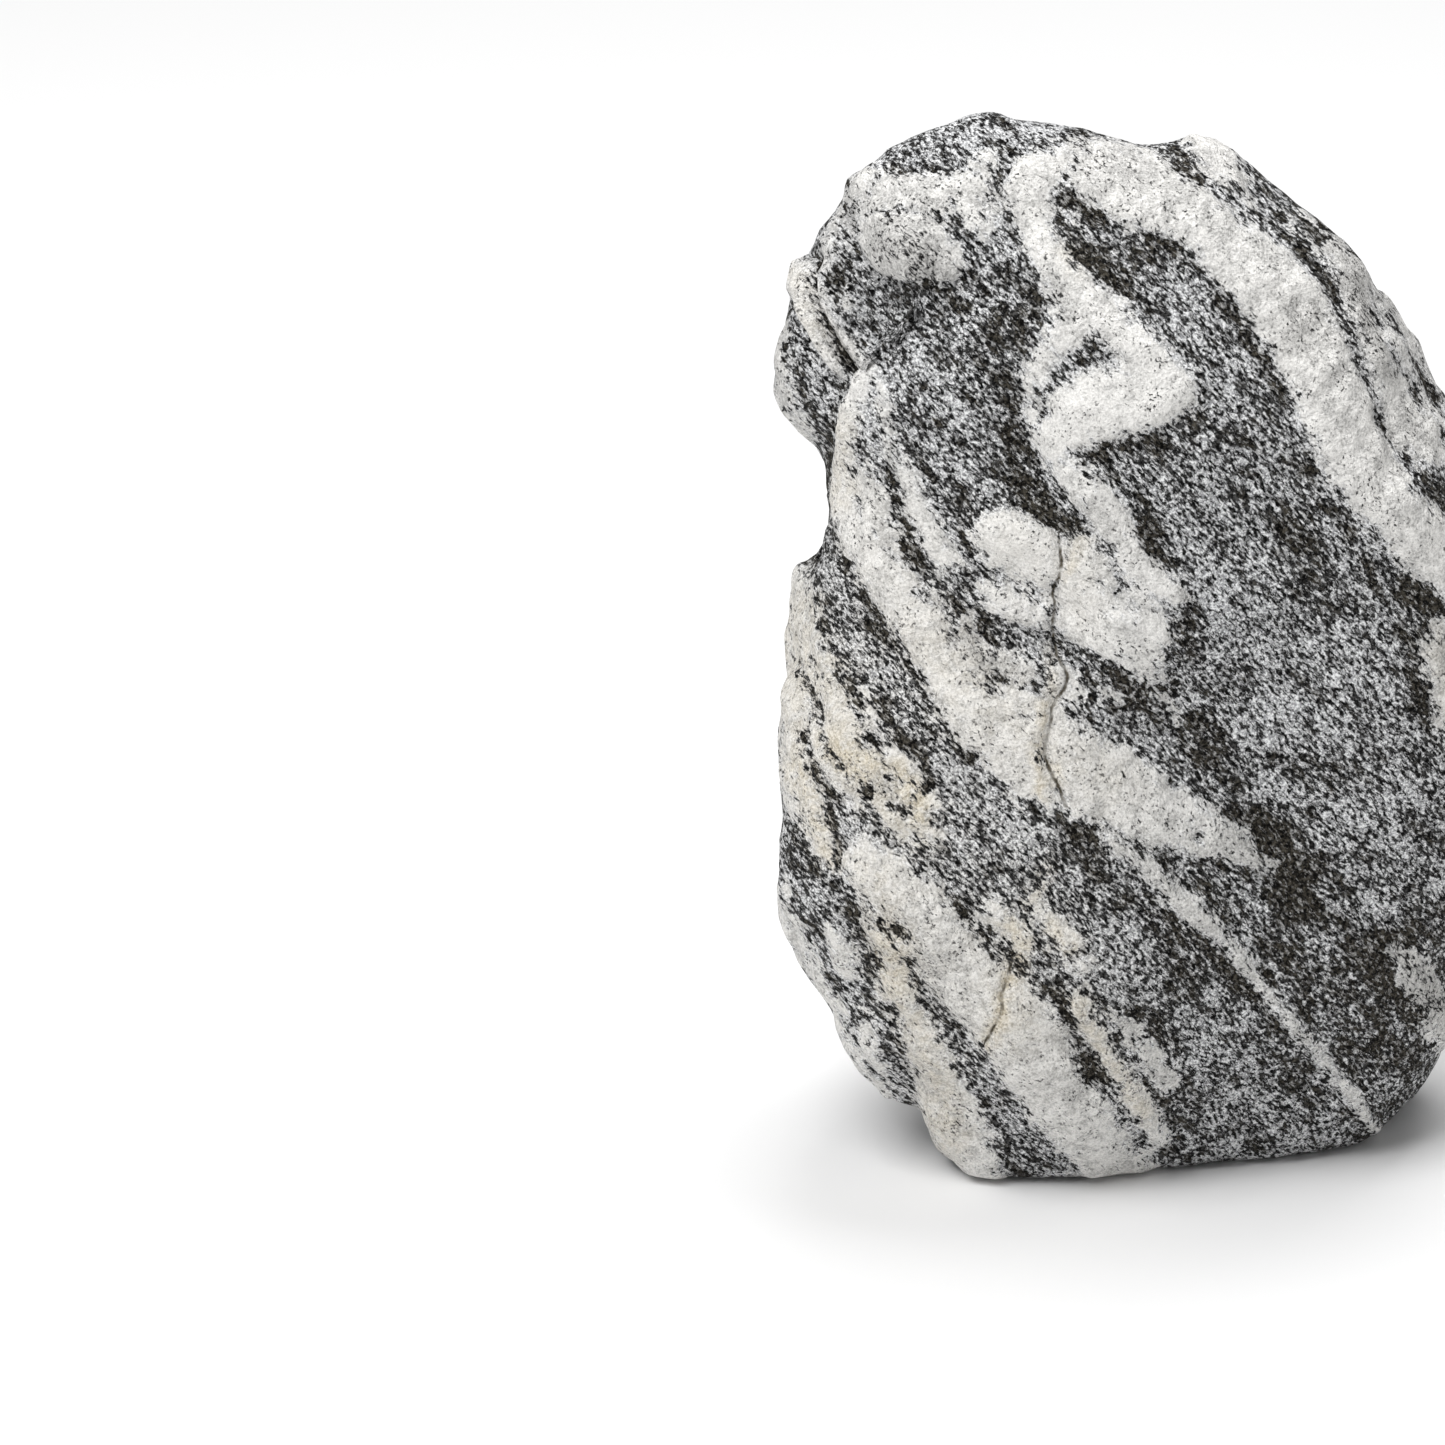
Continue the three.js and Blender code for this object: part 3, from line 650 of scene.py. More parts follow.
# Pale streaks inside the dark.
FINE_BANDS = {
    "streak in foot groove": [(-31, -106, 0.9), (-28, -112, 1.1), (-25, -117, 0.9)],
    "light by crook": [(-16, -79.5, 0.9), (-11, -79.5, 1.1)],
    "streak in dark": [(6, -11, 0.5), (10, -14, 0.7), (12, -18, 0.5)],
    "spot in dark": [(-7, -10.5, 1), (-3, -11.7, 0.8)],
    "streak by crack": [(-25, -63, 0.7), (-22, -68, 0.9), (-19, -72, 0.9)],
    "spot in wedge": [(-14.6, 109.2, 0.8), (-13.7, 108.3, 0.7)],
}
BANDS = [("pale", PALE_BANDS), ("dark", DARK_BANDS), ("pale", FINE_BANDS)]
print("dark bands:", len(DARK_BANDS), "pale streaks inside them:", len(FINE_BANDS))

# %% [markdown]
# ## Shades and stains
#
# Within a band the mica isn't even either: it gathers along the rims, and other places are
# dusted with it. Some shades and dark lines are painted shade instead of mica: in the crease
# beside the boss, under the boss, beside the ledge, in the lobe's groove and in part along the
# valley of the dark streak. Iron has stained some of the pale places the colour of cream.
# Both are soft strokes, a strength and a half-width before the points. Where a dark line is
# only a grain or two wide, the fraying of its border would break it up, so a shade runs
# along it too.

# %% Shades of the crest and the shoulder
# Added to the share of mica, painted shade among them: (strength, half-width, points).
SHADES = {
    "boss": (0.38, 6, (-62, 103), (-56, 102), (-51, 98)),
    "patches": (0.15, 7, (-61, 116), (-52, 113)),
    "outer shoulder": (0.29, 5, (49, 102), (53, 96), (56, 91), (60, 85)),
    "outer shoulder, upper": (0.12, 6, (31, 117), (45, 106)),
    "inside fold": (0.06, 4, (-18, 90), (-17, 82)),
    "grey in shoulder": (0.08, 4, (40, 83), (46, 76)),
    "left sliver": (-0.12, 2, (-26.3, 62), (-25, 55), (-23, 51)),
    "top cap": (0.03, 6, (-48, 127), (-32, 131), (-10, 130)),
    "dark interior lightened": (-0.08, 9, (-52, 66), (-45, 58)),
    "dark by fold": (0.16, 4, (-28, 92), (-26, 84), (-27, 76)),
    "wedge rim, left": (0.13, 2, (-14, 99), (-6, 94), (2, 87), (9, 81), (14, 75), (18, 68)),
    "wedge rim, right": (0.18, 2.6, (21, 92), (27, 84), (32, 75), (36, 70), (40, 61)),
    "wedge dark": (0.14, 4.5, (-15, 110.5), (-7, 104), (2, 99), (10, 97)),
    "notch of crest": (0.29, 3.5, (12, 124), (16, 119)),
    "left flank": (0.26, 3, (-70, 114), (-75, 104), (-76, 96), (-74, 91)),
    "outer shoulder, low": (0.22, 3.2, (59, 81), (62.5, 75), (66, 69)),
    "grey in fold": (0.12, 2.4, (-12, 79), (-7.5, 78)),
    "shoulder line shade": (0.14, 2, (50, 91), (54, 82), (57, 75), (59, 69)),
    "crest band": (0.15, 6, (-12, 120), (-4, 120), (6, 117), (16, 110)),
    "mid shoulder": (0.07, 6, (36, 90), (44, 79), (50, 72)),
    "right of the boss": (0.04, 4, (-46, 92), (-38, 96), (-29, 96)),
    "wedge dark, low": (0.1, 4, (-8, 98), (-1, 93)),
    "end of the wedge": (0.1, 3.5, (21, 70), (19.5, 64), (17, 57)),
    "mass of the fold": (-0.1, 8, (-12, 59), (2, 63), (9, 63)),
    "shoulder corner": (-0.1, 3.5, (31, 108), (37, 106)),
    "lobe body": (-0.06, 3.5, (-83, 78), (-80, 69)),
    # Painted shade beside the ledge, where the lobe lies lower.
    "under the ledge": (0.16, 2, (-74.5, 67), (-76, 60), (-77, 54)),
    "lobe line": (0.2, 1.1, (-87, 73), (-84.5, 69), (-83, 63), (-81, 58)),
    # Painted shadow in the crease beside the boss.
    "crease by boss": (0.2, 1.1, (-71.8, 106), (-70.8, 101), (-69.6, 97), (-67, 94), (-63, 91.5)),
    # Painted shade under the boss.
    "heart of the dark": (0.14, 5, (-46, 86), (-38, 85), (-33, 79)),
    "by the crease": (-0.1, 3.6, (-71, 97), (-67, 93.5), (-59, 91)),
    "right of the patches": (0.14, 3, (-38, 119), (-37, 111)),
    "crest line 1": (0.06, 1.1, (-60, 123.5), (-52, 128), (-45, 131), (-38, 133)),
    "crest line 2": (0.08, 1.3, (-60, 119.8), (-54, 119.5), (-48, 121.5), (-40, 124), (-30, 127)),
    "crest line 3": (0.1, 1, (-28, 126.5), (-20, 128.4), (-12, 129.4)),
    "light crest line 1": (-0.12, 1.1, (-52, 125.5), (-42, 128.5), (-28, 130.5), (-18, 131)),
    "light crest line 2": (-0.1, 0.9, (-36, 126), (-26, 127.8), (-16, 129.6)),
    "between the bands, top": (-0.28, 2.2, (-66.5, 61), (-65.5, 53)),
    "heart of the dark, low": (0.08, 3.5, (-41, 61), (-33, 60)),
    "light in the wedge": (-0.14, 2.6, (3, 94), (8, 91)),
    "wedge dark, mid": (0.12, 3.5, (2, 101), (6, 97)),
    "by the wisp": (-0.14, 2.2, (-23, 72.5), (-12, 76)),
    "wedge, right part": (-0.08, 3.5, (23, 77), (31, 78)),
    "streak by fold": (0.22, 2, (-33.5, 118), (-35, 113)),
    "spot in fold": (0.3, 2.2, (-24, 64), (-23.3, 60)),
    "shoulder rim, low": (0.45, 1.4, (70.7, 75.3), (72.8, 72), (74.8, 67.5), (77.3, 63)),
    "shoulder stripe": (0.25, 0.9, (71.5, 69), (72.8, 65), (74, 61)),
    "lobe": (0.2, 2.8, (-88, 82), (-88, 70), (-86, 62)),
    "light on the crest": (-0.14, 2, (-39, 132), (-33, 131)),
    "wedge tip": (0.24, 2.2, (-16.5, 113.5), (-11.5, 110.8), (-7.5, 108)),
    "soft grey in fold": (0.1, 2.5, (-5, 75), (0, 73)),
    "grey of the inner side": (0.26, 2.6, (-17.6, 89), (-16, 84)),
    "left of the boss": (0.06, 2.8, (-72, 112), (-73.5, 104), (-73, 97)),
    "boss, low": (0.06, 3.2, (-62, 95.5), (-54, 94.5), (-47, 95)),
    "grey in the shoulder": (0.12, 2, (41, 84), (41, 79)),
    "grey in the shoulder, right": (0.14, 1.8, (47, 84), (48, 80)),
    "grey in the shoulder, low": (0.16, 1.5, (53, 70), (51, 67.5)),
    "grey in the shoulder, top": (0.06, 2, (17, 104), (22, 101.5)),
    "crest cap": (0.08, 2, (-14, 127), (-9, 127.2)),
    "rim of the shoulder": (0.16, 4, (70, 60), (74, 52)),
    "patches beside the fold": (-0.08, 4, (-62, 108), (-56, 112)),
}
print("shades so far:", len(SHADES))

# %% Shades of the middle
SHADES.update({
    "fold limb grey": (0.14, 4, (-13, 36), (-9, 31), (-6, 25)),
    "long band mottled": (0.1, 4.5, (-67, 50), (-65, 42), (-61, 30), (-59, 24)),
    "grey part": (0.34, 4.6, (-41, 3), (-36, -4), (-26, -4)),
    "right edge": (0.12, 5, (78, 2), (82, -14)),
    # Partly a dark band of mica and partly painted shade in the valley of the dark streak.
    "dark streak": (0.2, 3.6, (-34, 74), (-31.5, 64), (-29, 52), (-27, 43), (-21, 33.5), (-15, 30)),
    "wedge rim, low": (0.24, 2.6, (44, 44), (48, 38), (55, 29)),
    "rim of long band": (
        0.15, 2.6, (-74, 31), (-71, 20), (-66, 11), (-61, 3), (-57, -3), (-52, -11), (-46, -18),
        (-40, -26),
    ),
    "dark over long band": (0.17, 3, (-44, 12), (-40, 6), (-24, 3.5), (-14, -1), (-2, -7), (10, -10)),
    "dark over band, mid": (0.11, 5, (-6, -14), (8, -17), (18, -17)),
    "by lump": (0.08, 2.5, (14, 16), (14, 8), (15, 0)),
    "under shoulder": (0.05, 3.5, (54, 26), (60, 20), (69, 17), (77, 10)),
    "right edge rim": (0.22, 2.2, (69, 3), (71, -7), (76, -17)),
    "between limbs": (0.18, 3.5, (4, 30), (7, 22)),
    "wedge under fold": (0.3, 1.8, (-7.5, 51.4), (-1, 50.5)),
    "under the dark line": (-0.14, 4, (-38, 2), (-30, 1), (-24, -1)),
    "dark beside the shoulder": (0.12, 6, (40, 33), (46, 20)),
    "low shoulder": (0.04, 6, (56, 56), (64, 46), (72, 34)),
    "dark above the knob": (0.05, 5, (-49, 41), (-40, 41), (-31, 39)),
    "right of the limbs": (-0.07, 4.5, (12, 36), (15, 43)),
    "knob": (-0.15, 8, (-33, 28), (-25, 24)),
    "crack crossing": (-0.14, 3.5, (-25, -2), (-20, -2)),
    "long band, upper side": (0.06, 3, (-34, -14), (-21, -14)),
    "band top rim": (0.14, 3, (-4, -9), (8, -12)),
    "under the tip": (0.14, 4, (14, 54), (22, 52)),
    "left of the knob": (0.06, 2.4, (-50, 31), (-44, 26), (-39, 23)),
    "left streak": (0.18, 2.6, (-74, -6), (-69, -13)),
    "lighter right": (-0.06, 6, (54, -6), (42, 8), (30, 0)),
    "far right": (0.08, 8, (66, 11), (78, 4)),
    "end of the dark streak": (0.16, 2.6, (-26, 34.5), (-18, 31)),
    "between the long bands": (0.2, 3, (-60, 42), (-57, 32), (-53, 22)),
    "dark streak, right": (-0.08, 4, (-30, 48), (-22, 47)),
    "wedge under fold, left": (0.14, 2, (-14, 47), (-8, 48)),
    "spots in the lump": (0.16, 2.4, (-5, 13.5), (0, 14)),
    "left side mottled": (0.1, 4, (-80, 12), (-77, 0), (-76, -12)),
    "left streak line": (
        0.14, 1.1, (-72, -8.5), (-68.5, -14), (-64.8, -22), (-62, -29.5), (-60, -32.5),
    ),
    "right of the second band": (0.16, 2.5, (-52, 50), (-49.5, 40)),
    "shoulder line, low": (0.2, 2.8, (62.5, 60), (65, 54), (68.5, 48)),
    "shoulder wedge": (0.2, 4.5, (74, 42), (80, 38)),
    "lighter right, low": (-0.1, 4, (55, -12), (55, -20)),
    "dark by the cream zone": (0.3, 1.8, (-64, -14), (-61, -19), (-58.5, -23.5)),
    "left rim line": (0.42, 0.9, (-83, -6), (-81.7, -9.5), (-79.7, -12.5), (-78.7, -17)),
    "right, dark": (0.2, 4, (70.5, 18), (75, 11), (76, 6)),
    "over the knob": (0.3, 1.3, (-24, 33.5), (-18, 31), (-13, 28.5)),
    "right of the grey part": (0.12, 1.6, (-62, 58), (-60.5, 50), (-59, 44)),
    "long band rim": (0.18, 2, (-79, 52), (-77.3, 42), (-77.8, 34), (-81, 22)),
    "below the shoulder": (-0.05, 4, (44, 42), (50, 34), (56, 27)),
    "lump and limb": (-0.06, 8, (-6, 12), (2, 20)),
})
print("shades so far:", len(SHADES))

# %% Shades of the foot
SHADES.update({
    "cream zone mottled": (0.22, 4.6, (-66, -35), (-61, -37.5), (-55, -40)),
    "under cream zone": (-0.08, 3, (-66, -40), (-57, -48), (-49, -52)),
    "foot band grey": (0.08, 5, (-54, -73), (-47, -78)),
    "foot band grey, low": (0.07, 7, (-24, -103), (-15, -113)),
    "outer foot band low": (0.08, 5, (-50, -104), (-44, -118)),
    "end of long band": (0.12, 4, (22, -50), (34, -54)),
    "lilac": (0.16, 4, (-2, -93), (8, -107)),
    "right patch": (0.42, 6, (66, -77), (74, -87)),
    "dark under band": (0.1, 3, (-28, -40), (-18, -44), (-8, -49)),
    "black heart": (0.22, 8, (31, -44), (40, -52), (43, -62)),
    "vein side": (0.24, 1.4, (10, -66), (16, -72), (24, -79), (33, -90), (36, -96)),
    # Darker towards the lower right of the face.
    "lower right": (0.1, 22, (50, -75), (62, -100)),
    "dark crook": (0.22, 3, (-43, -64), (-36, -72)),
    "crook low": (0.24, 3, (-19, -85), (-14, -98), (-8, -107)),
    "outer groove": (0.14, 3, (-76, -60), (-64, -76), (-58, -96), (-54, -110)),
    "under the left zone": (-0.16, 4, (-75, -43), (-68, -47), (-61, -50)),
    "cream zone, left": (0.1, 4.5, (-70, -29), (-64, -33)),
    # Darker over a broad part of the lower face, towards the right.
    "lower face": (0.06, 28, (10, -60), (40, -90)),
    "left of the long band": (-0.07, 6, (-54, -18), (-47, -34)),
    "dark middle": (-0.075, 13, (-40, -46), (-25, -54)),
    "dark low middle": (-0.08, 8, (-15, -62), (-3, -72)),
    "dark over band, right": (0.04, 5, (24, -17), (26, -27), (22, -33)),
    "low right": (-0.07, 6, (44, -74), (48, -77)),
    "low right of the vein": (-0.08, 6, (20, -88), (33, -89)),
    "left of the dark band": (0.12, 4, (-63, -19), (-54, -27)),
    "start of the vein": (0.1, 3, (-9, -46), (-2, -48)),
    "right of the vein": (0.1, 4, (20, -60), (25, -63)),
    "foot left rim": (0.1, 4, (-86, -58), (-84, -70)),
    "right middle": (0.1, 4, (44, -33), (47, -38)),
    "lighter middle": (-0.12, 6, (22, -38), (36, -36)),
    "lighter low right": (-0.06, 5, (52, -56), (55, -63)),
    "by the foot": (-0.06, 5, (10, -84), (15, -92)),
    "lighter far right": (-0.07, 6, (61, -43), (71, -57)),
    "cream patch": (-0.2, 2.5, (-60, -27.5), (-57, -30)),
    "left blobs, upper": (0.36, 1.8, (-80.5, -29.5), (-78.8, -33.5)),
    "left blobs, middle": (0.34, 1.6, (-76.5, -36), (-74.8, -38.5)),
    "left blobs, low": (0.4, 1.8, (-77.3, -42), (-75.3, -44.5)),
    "groove branch": (0.36, 1.8, (-74.3, -49), (-74.6, -54)),
    "broad foot, mottled": (0.08, 7, (-64, -62), (-52, -74), (-42, -86)),
    "right of the cream zone": (0.3, 2.2, (-56, -24), (-53.5, -28), (-51.5, -33)),
    "left rim, low": (0.04, 2.4, (-85.5, -47), (-84.5, -54), (-83, -59)),
    "over the outer foot band": (0.14, 3, (-56, -77), (-50, -86), (-45, -93)),
    "left of the long dark": (0.1, 3, (-62, -64), (-52, -76)),
    "foot middle": (0.05, 5, (-44, -98), (-38, -108)),
    "lower middle": (0.05, 14, (-2, -62), (14, -80)),
    "grey along the foot crack": (0.06, 1.4, (-29.5, -79), (-32, -87)),
})
print("shades so far:", len(SHADES))

# %% Shades along dark lines
# The strength and half-width of a shade that follows one of the dark bands.
DEEPENED = {
    # The shade along the lobe groove is painted shadow in the groove.
    "lobe groove": (0.4, 1.3), "lobe seam": (0.1, 1.3), "left patch 4": (0.25, 1.1),
    "cream streak 4": (0.25, 1), "streak at fold": (0.22, 1.4), "shoulder rim": (0.4, 1.2),
    "line over the foot band": (0.3, 1.6),
}
for name, weight in DEEPENED.items():
    SHADES["along " + name] = (*weight, *[point[:2] for point in DARK_BANDS[name]])
print("shades:", len(SHADES), "of which along dark lines:", len(DEEPENED))

# %% Stains and calm borders
# A seam beside the long crack is stained, and stands up a little.
SEAM = [(-22.3, -14), (-22.7, -20), (-23.6, -26), (-23, -32), (-22.5, -37)]
# How strongly pale grains are stained.
WARM_STROKES = {
    "crack, upper": (0.5, 1.6, (-12.5, 27), (-14, 23), (-16.5, 19)),
    "crack, fork": (0.5, 1.6, (-20.5, 0), (-20, -6), (-19.5, -12)),
    "crack, middle": (0.8, 1.7, *SEAM),
    "crack, lower end": (0.5, 1.6, (-19, -29), (-18, -34)),
    "crack, low": (0.35, 2.5, (-21, -53), (-22, -60), (-25, -64)),
    "crack at the foot": (0.8, 2.4, (-29, -79), (-32, -86), (-32.5, -92), (-36, -99)),
    "knob": (0.12, 8, (-30, 28), (-25, 24)),
    "lump": (0.15, 6, (-13, 22), (-12, 10)),
    "cream patch": (0.8, 4, (-72, -27), (-67, -29)),
    "cream patch, right": (0.8, 3, (-59, -30), (-55, -36), (-52.5, -41)),
    "cream zone": (0.4, 6, (-76, -24), (-66, -34), (-54, -46)),
    "cream strip": (0.7, 3.5, (-83, -31), (-80.7, -40), (-77, -52)),
    "left rim": (0.3, 4, (-82, 12), (-84, -8), (-85.5, -28)),
    "left pale zone": (0.3, 6, (-77, -4), (-73, -20)),
    "long band, upper": (0.35, 4, (-72.5, 56), (-73, 38)),
    "outer foot band": (0.5, 5, (-63, -74), (-58, -88), (-50, -104), (-45, -122)),
    "by dark crook": (0.7, 3, (-31, -69), (-27, -74)),
    "pinkish streak": (0.6, 3, (-20, -70), (-15, -74)),
    "cream foot strip": (0.6, 3, (-13, -88), (-9, -97), (-3, -107), (3, -116)),
    "broad foot band, top": (0.3, 5, (-66, -56), (-58, -74), (-60, -80)),
    "broad foot band, crack side": (0.3, 5, (-30, -84), (-28, -96)),
    "upper rib": (0.3, 3, (-84, 94), (-80, 82), (-73, 74)),
    "right edge": (0.25, 6, (78, 0), (84, -18)),
    "fold corner": (0.35, 3, (-16, 100), (-14, 96)),
    "lower left": (0.16, 34, (-66, 0), (-56, -40), (-35, -75)),
    "long band": (0.2, 9, (-50, 2), (-30, -20), (-5, -33)),
}
# How far the raggedness of a border is held back.
CALM_STROKES = {
    "ribs of the lobe": (0.9, 6, (-85, 98), (-82, 86), (-78, 78), (-71, 71)),
    "ledge over the lobe": (0.8, 5, (-67, 73), (-73, 62), (-75, 50), (-76, 38)),
    "shoulder line": (0.7, 3.5, (44, 99), (51, 89), (56.5, 75.5), (61, 62)),
    "second shoulder line": (0.7, 4, (60, 92), (66, 76), (72, 68), (78, 62)),
    "wisp in the fold": (0.8, 4, (-21, 68), (-6, 75)),
    "thin vein": (0.5, 5, (0, -48), (14, -64), (32, -83), (56, -112)),
    "beside the long band": (0.5, 4, (-63, 60), (-57, 44), (-52, 34)),
    "crease by the boss": (0.7, 4, (-72, 106), (-71, 98), (-64, 91)),
    "crook of the foot band": (0.6, 4, (-22, -83), (-15, -93), (-8, -107)),
    "foot groove": (0.5, 3, (-57, -80), (-47, -92), (-42, -104)),
    "left streaks": (0.5, 4, (-82, -10), (-79, -28), (-74, -40)),
    "cream streaks": (0.5, 4, (-72, -26), (-62, -30), (-58, -36)),
    "rim of the shoulder": (0.7, 3, (66, 85), (72, 76), (78, 64)),
    "spots of the left side": (0.6, 3, (-81, -30), (-76, -38), (-76, -44), (-74.5, -52)),
}

# %% [markdown]
# ## Painting with strokes
#
# A band has a crisp border on the stone, so what a place keeps is its distance from the
# nearest border. The material can fray that border later, at any fineness. A picture laid
# over the stone would blur it instead. Shades and stains have no border, and are added up.

# %% Painting with strokes
FAR_FROM_BANDS = 12


def edge_from(strokes_by_kind, across, up):
    """How far inside a pale band a place is, in mm; below 0 it is outside by that much.

    The bands are painted in turn: a pale stroke takes the larger of what is there and its
    own depth, and a dark stroke cuts away whatever it covers.
    """
    edge = np.full(np.shape(across), -FAR_FROM_BANDS)
    for kind, strokes in strokes_by_kind:
        for line in strokes.values():
            outside, _ = from_line(across, up, line)
            edge = np.maximum(edge, -outside) if kind == "pale" else np.minimum(edge, outside)
    return edge


def soft_strokes(strokes, across, up):
    """The sum of soft strokes: each is strongest on its line and falls off as a bell."""
    total = np.zeros(np.shape(across))
    for strength, half, *line in strokes.values():
        distance, _ = from_line(across, up, line)
        total += strength * np.exp(-((distance / half) ** 2))
    return total


print("in the knob, mm from its border:", edge_from(BANDS, -27.5, 25.5))

# %% [markdown]
# ## A grid without poles
#
# A globe's grid crowds together at its poles. A cube blown up to a ball has none: each of
# its six faces is a plain grid, and equal angles between the lines keep the cells alike.
# The faces share their border points, which are merged by their place on the cube.

# %% Directions on a blown-up cube
CELLS = (129, 88, 175)
CUBE_FACES = [
    (0, 1, 1, 2), (0, -1, 2, 1), (1, 1, 2, 0), (1, -1, 0, 2), (2, 1, 0, 1), (2, -1, 1, 0),
]


def cube_grid():
    """The directions and the four-cornered cells of the blown-up cube.

    A face is its outward axis and sign and the two axes that it spans. A point's steps
    along the three axes make one whole number, and equal numbers are one point.
    """
    steps = []
    cells = []
    count = 0
    for axis, sign, first, second in CUBE_FACES:
        i, j = np.meshgrid(range(CELLS[first] + 1), range(CELLS[second] + 1), indexing="ij")
        on_face = np.empty(i.shape + (3,), int)
        on_face[..., axis] = CELLS[axis] if sign > 0 else 0
        on_face[..., first] = i
        on_face[..., second] = j
        number = count + np.arange(i.size).reshape(i.shape)
        corners = (number[:-1, :-1], number[1:, :-1], number[1:, 1:], number[:-1, 1:])
        cells.append(np.stack(corners, axis=-1).reshape(-1, 4))
        steps.append(on_face.reshape(-1, 3))
        count += i.size
    steps = np.concatenate(steps)
    sides = max(CELLS) + 1
    key = (steps[:, 0] * sides + steps[:, 1]) * sides + steps[:, 2]
    _, first_use, merged = np.unique(key, return_index=True, return_inverse=True)
    even = np.tan(math.pi / 4 * (2 * steps[first_use] / CELLS - 1))
    direction = even / np.linalg.norm(even, axis=1, keepdims=True)
    return direction, merged[np.concatenate(cells)]


direction, cells = cube_grid()
print("surface:", len(direction), "points,", 2 * len(cells), "triangles")

# %% [markdown]
# ## The body in every direction
#
# The swells push points out at right angles to the surface, which also moves them a little
# sideways on the board. A knob drawn there would drift off its place. So the body is made
# twice: the first time shows how far each point drifts, and the second time the strokes
# are drawn where the points end up.

# %% The body in every direction
NUDGE = 0.01
RIPPLE_FADE = (-0.3, 0.2)


def outward(place, shift):
    """The direction out of the body: the cross product of two small steps along it."""
    side = np.cross([0, 1, 0], direction)
    side[np.linalg.norm(side, axis=1) < NUDGE] = [1, 0, 0]
    side /= np.linalg.norm(side, axis=1, keepdims=True)
    steps = []
    for way in (side, np.cross(direction, side)):
        nudged = direction + NUDGE * way
        nudged /= np.linalg.norm(nudged, axis=1, keepdims=True)
        steps.append(body(nudged, shift)[0] - place)
    normal = np.cross(*steps)
    return normal / np.linalg.norm(normal, axis=1, keepdims=True)


shift = np.zeros((2, len(direction)))
for _ in range(2):
    place, behind, drawn = body(direction, shift)
    normal = outward(place, shift)
    ripple = smooth(*RIPPLE_FADE, direction[:, 1]) * band_ripple(place)
    lift = smooth(0, RIM_HOLD, abs(behind)) * (swell(place) + ripple)
    swelled = place + normal * lift[:, None]
    shift = on_board(swelled) - on_board(place)
print("body, mm:", np.ptp(swelled, axis=0).round(1), "largest drift:", abs(shift).max().round(1))

# %% [markdown]
# ## Noise
#
# A river doesn't work by formulas, so much of the finer form is smooth noise: a random
# number at every whole-numbered corner of space, eased from corner to corner. Stretching
# the places before they are looked up stretches the noise, which makes it run with the
# sheets. The random numbers have a seed, so the stone is the same each time.

# %% Smooth noise
NOISE_PERIOD = 64


def noise(points, seed):
    """Smooth noise from -1 to 1 with features about one unit long.

    The eight corners round a point each have a random number. A corner counts by how near
    it is on each axis, eased by the same S-shaped climb as above.
    """
    corner_values = np.random.default_rng(seed).uniform(-1, 1, (NOISE_PERIOD,) * 3)
    cell = np.floor(points).astype(int)
    near = smooth(0, 1, points - cell)
    total = np.zeros(len(points))
    for corner in itertools.product((0, 1), repeat=3):
        weight = np.prod(np.where(corner, near, 1 - near), axis=1)
        x, y, z = ((cell + corner) % NOISE_PERIOD).T
        total += weight * corner_values[x, y, z]
    return total


# The axes of the stone's sheets: across them, and two that lie in them.
first_along = np.cross(BAND_ACROSS, [0, 1, 0])
first_along /= np.linalg.norm(first_along)
second_along = np.cross(first_along, BAND_ACROSS)
in_sheets = np.stack([
    across_sheets(place), place @ first_along, place @ second_along,
], axis=-1)


def sheet_noise(thickness, length, seed):
    """Noise in lenses that lie in the sheets, of that thickness and length in mm."""
    return noise(in_sheets / [thickness, length, length], seed)


print("noise from", noise(place / 9, 1).min().round(2), "to", noise(place / 9, 1).max().round(2))

# %% [markdown]
# ## Bands all round
#
# The drawn bands end where the eye can't follow them. Past the rim they give way to lenses
# of pale and dark in the same sheets, so that the sides and the back are more of the same
# stone. Dark bands are darkest just outside a pale band, where the mica gathered.

# %% The bands at every point
FADE = (8, 46)
LENS_EDGE = 8
LENS_BIAS = 0.1
MICA_RIM = 0.1
RIM_PLACE = -2.2
RIM_WIDTH = 1.6
MOST_CALM = 0.85
RIM_LESS_ON_FACE = 0.5
FAR_STAIN = 0.3
STAINED = (0.2, 0.9)
# Layers of noise for the far side, each (weight, thickness, length, seed).
LENSES = [(1, 8, 60, 11), (0.6, 3.6, 34, 12), (0.5, 20, 90, 13)]
FAR_SHADES = [(0.14, 12, 30, 14), (0.1, 5, 14, 15)]


def layered(layers):
    """The sum of layers of noise in the sheets, each times its weight."""
    return sum(weight * sheet_noise(*layer) for weight, *layer in layers)


on_face = 1 - smooth(*FADE, behind)
far_edge = LENS_EDGE * (layered(LENSES) - LENS_BIAS)
edge = mix(far_edge, edge_from(BANDS, *drawn), on_face)
mica_rim = MICA_RIM * np.exp(-(((edge - RIM_PLACE) / RIM_WIDTH) ** 2))
mica_rim = mica_rim * (1 - RIM_LESS_ON_FACE * on_face)
shade = mix(layered(FAR_SHADES), soft_strokes(SHADES, *drawn), on_face) + mica_rim
far_stain = FAR_STAIN * smooth(*STAINED, sheet_noise(9, 24, 16))
warmth = mix(far_stain, soft_strokes(WARM_STROKES, *drawn), on_face)
ragged = 1 - on_face * np.minimum(MOST_CALM, soft_strokes(CALM_STROKES, *drawn))
print("pale share of the surface:", np.mean(edge > 0).round(2))

# %% [markdown]
# ## Fine relief
#
# Up close the stone is rough. Pale bands stand a little proud of the dark ones, because
# mica wears faster; they are lumpy, and the dark ones are finely ribbed along the sheets.
# The long crack, the short one at the foot and the ribs of the lobe are strokes again. All
# of it is cut in a little from the form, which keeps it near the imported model's surface.

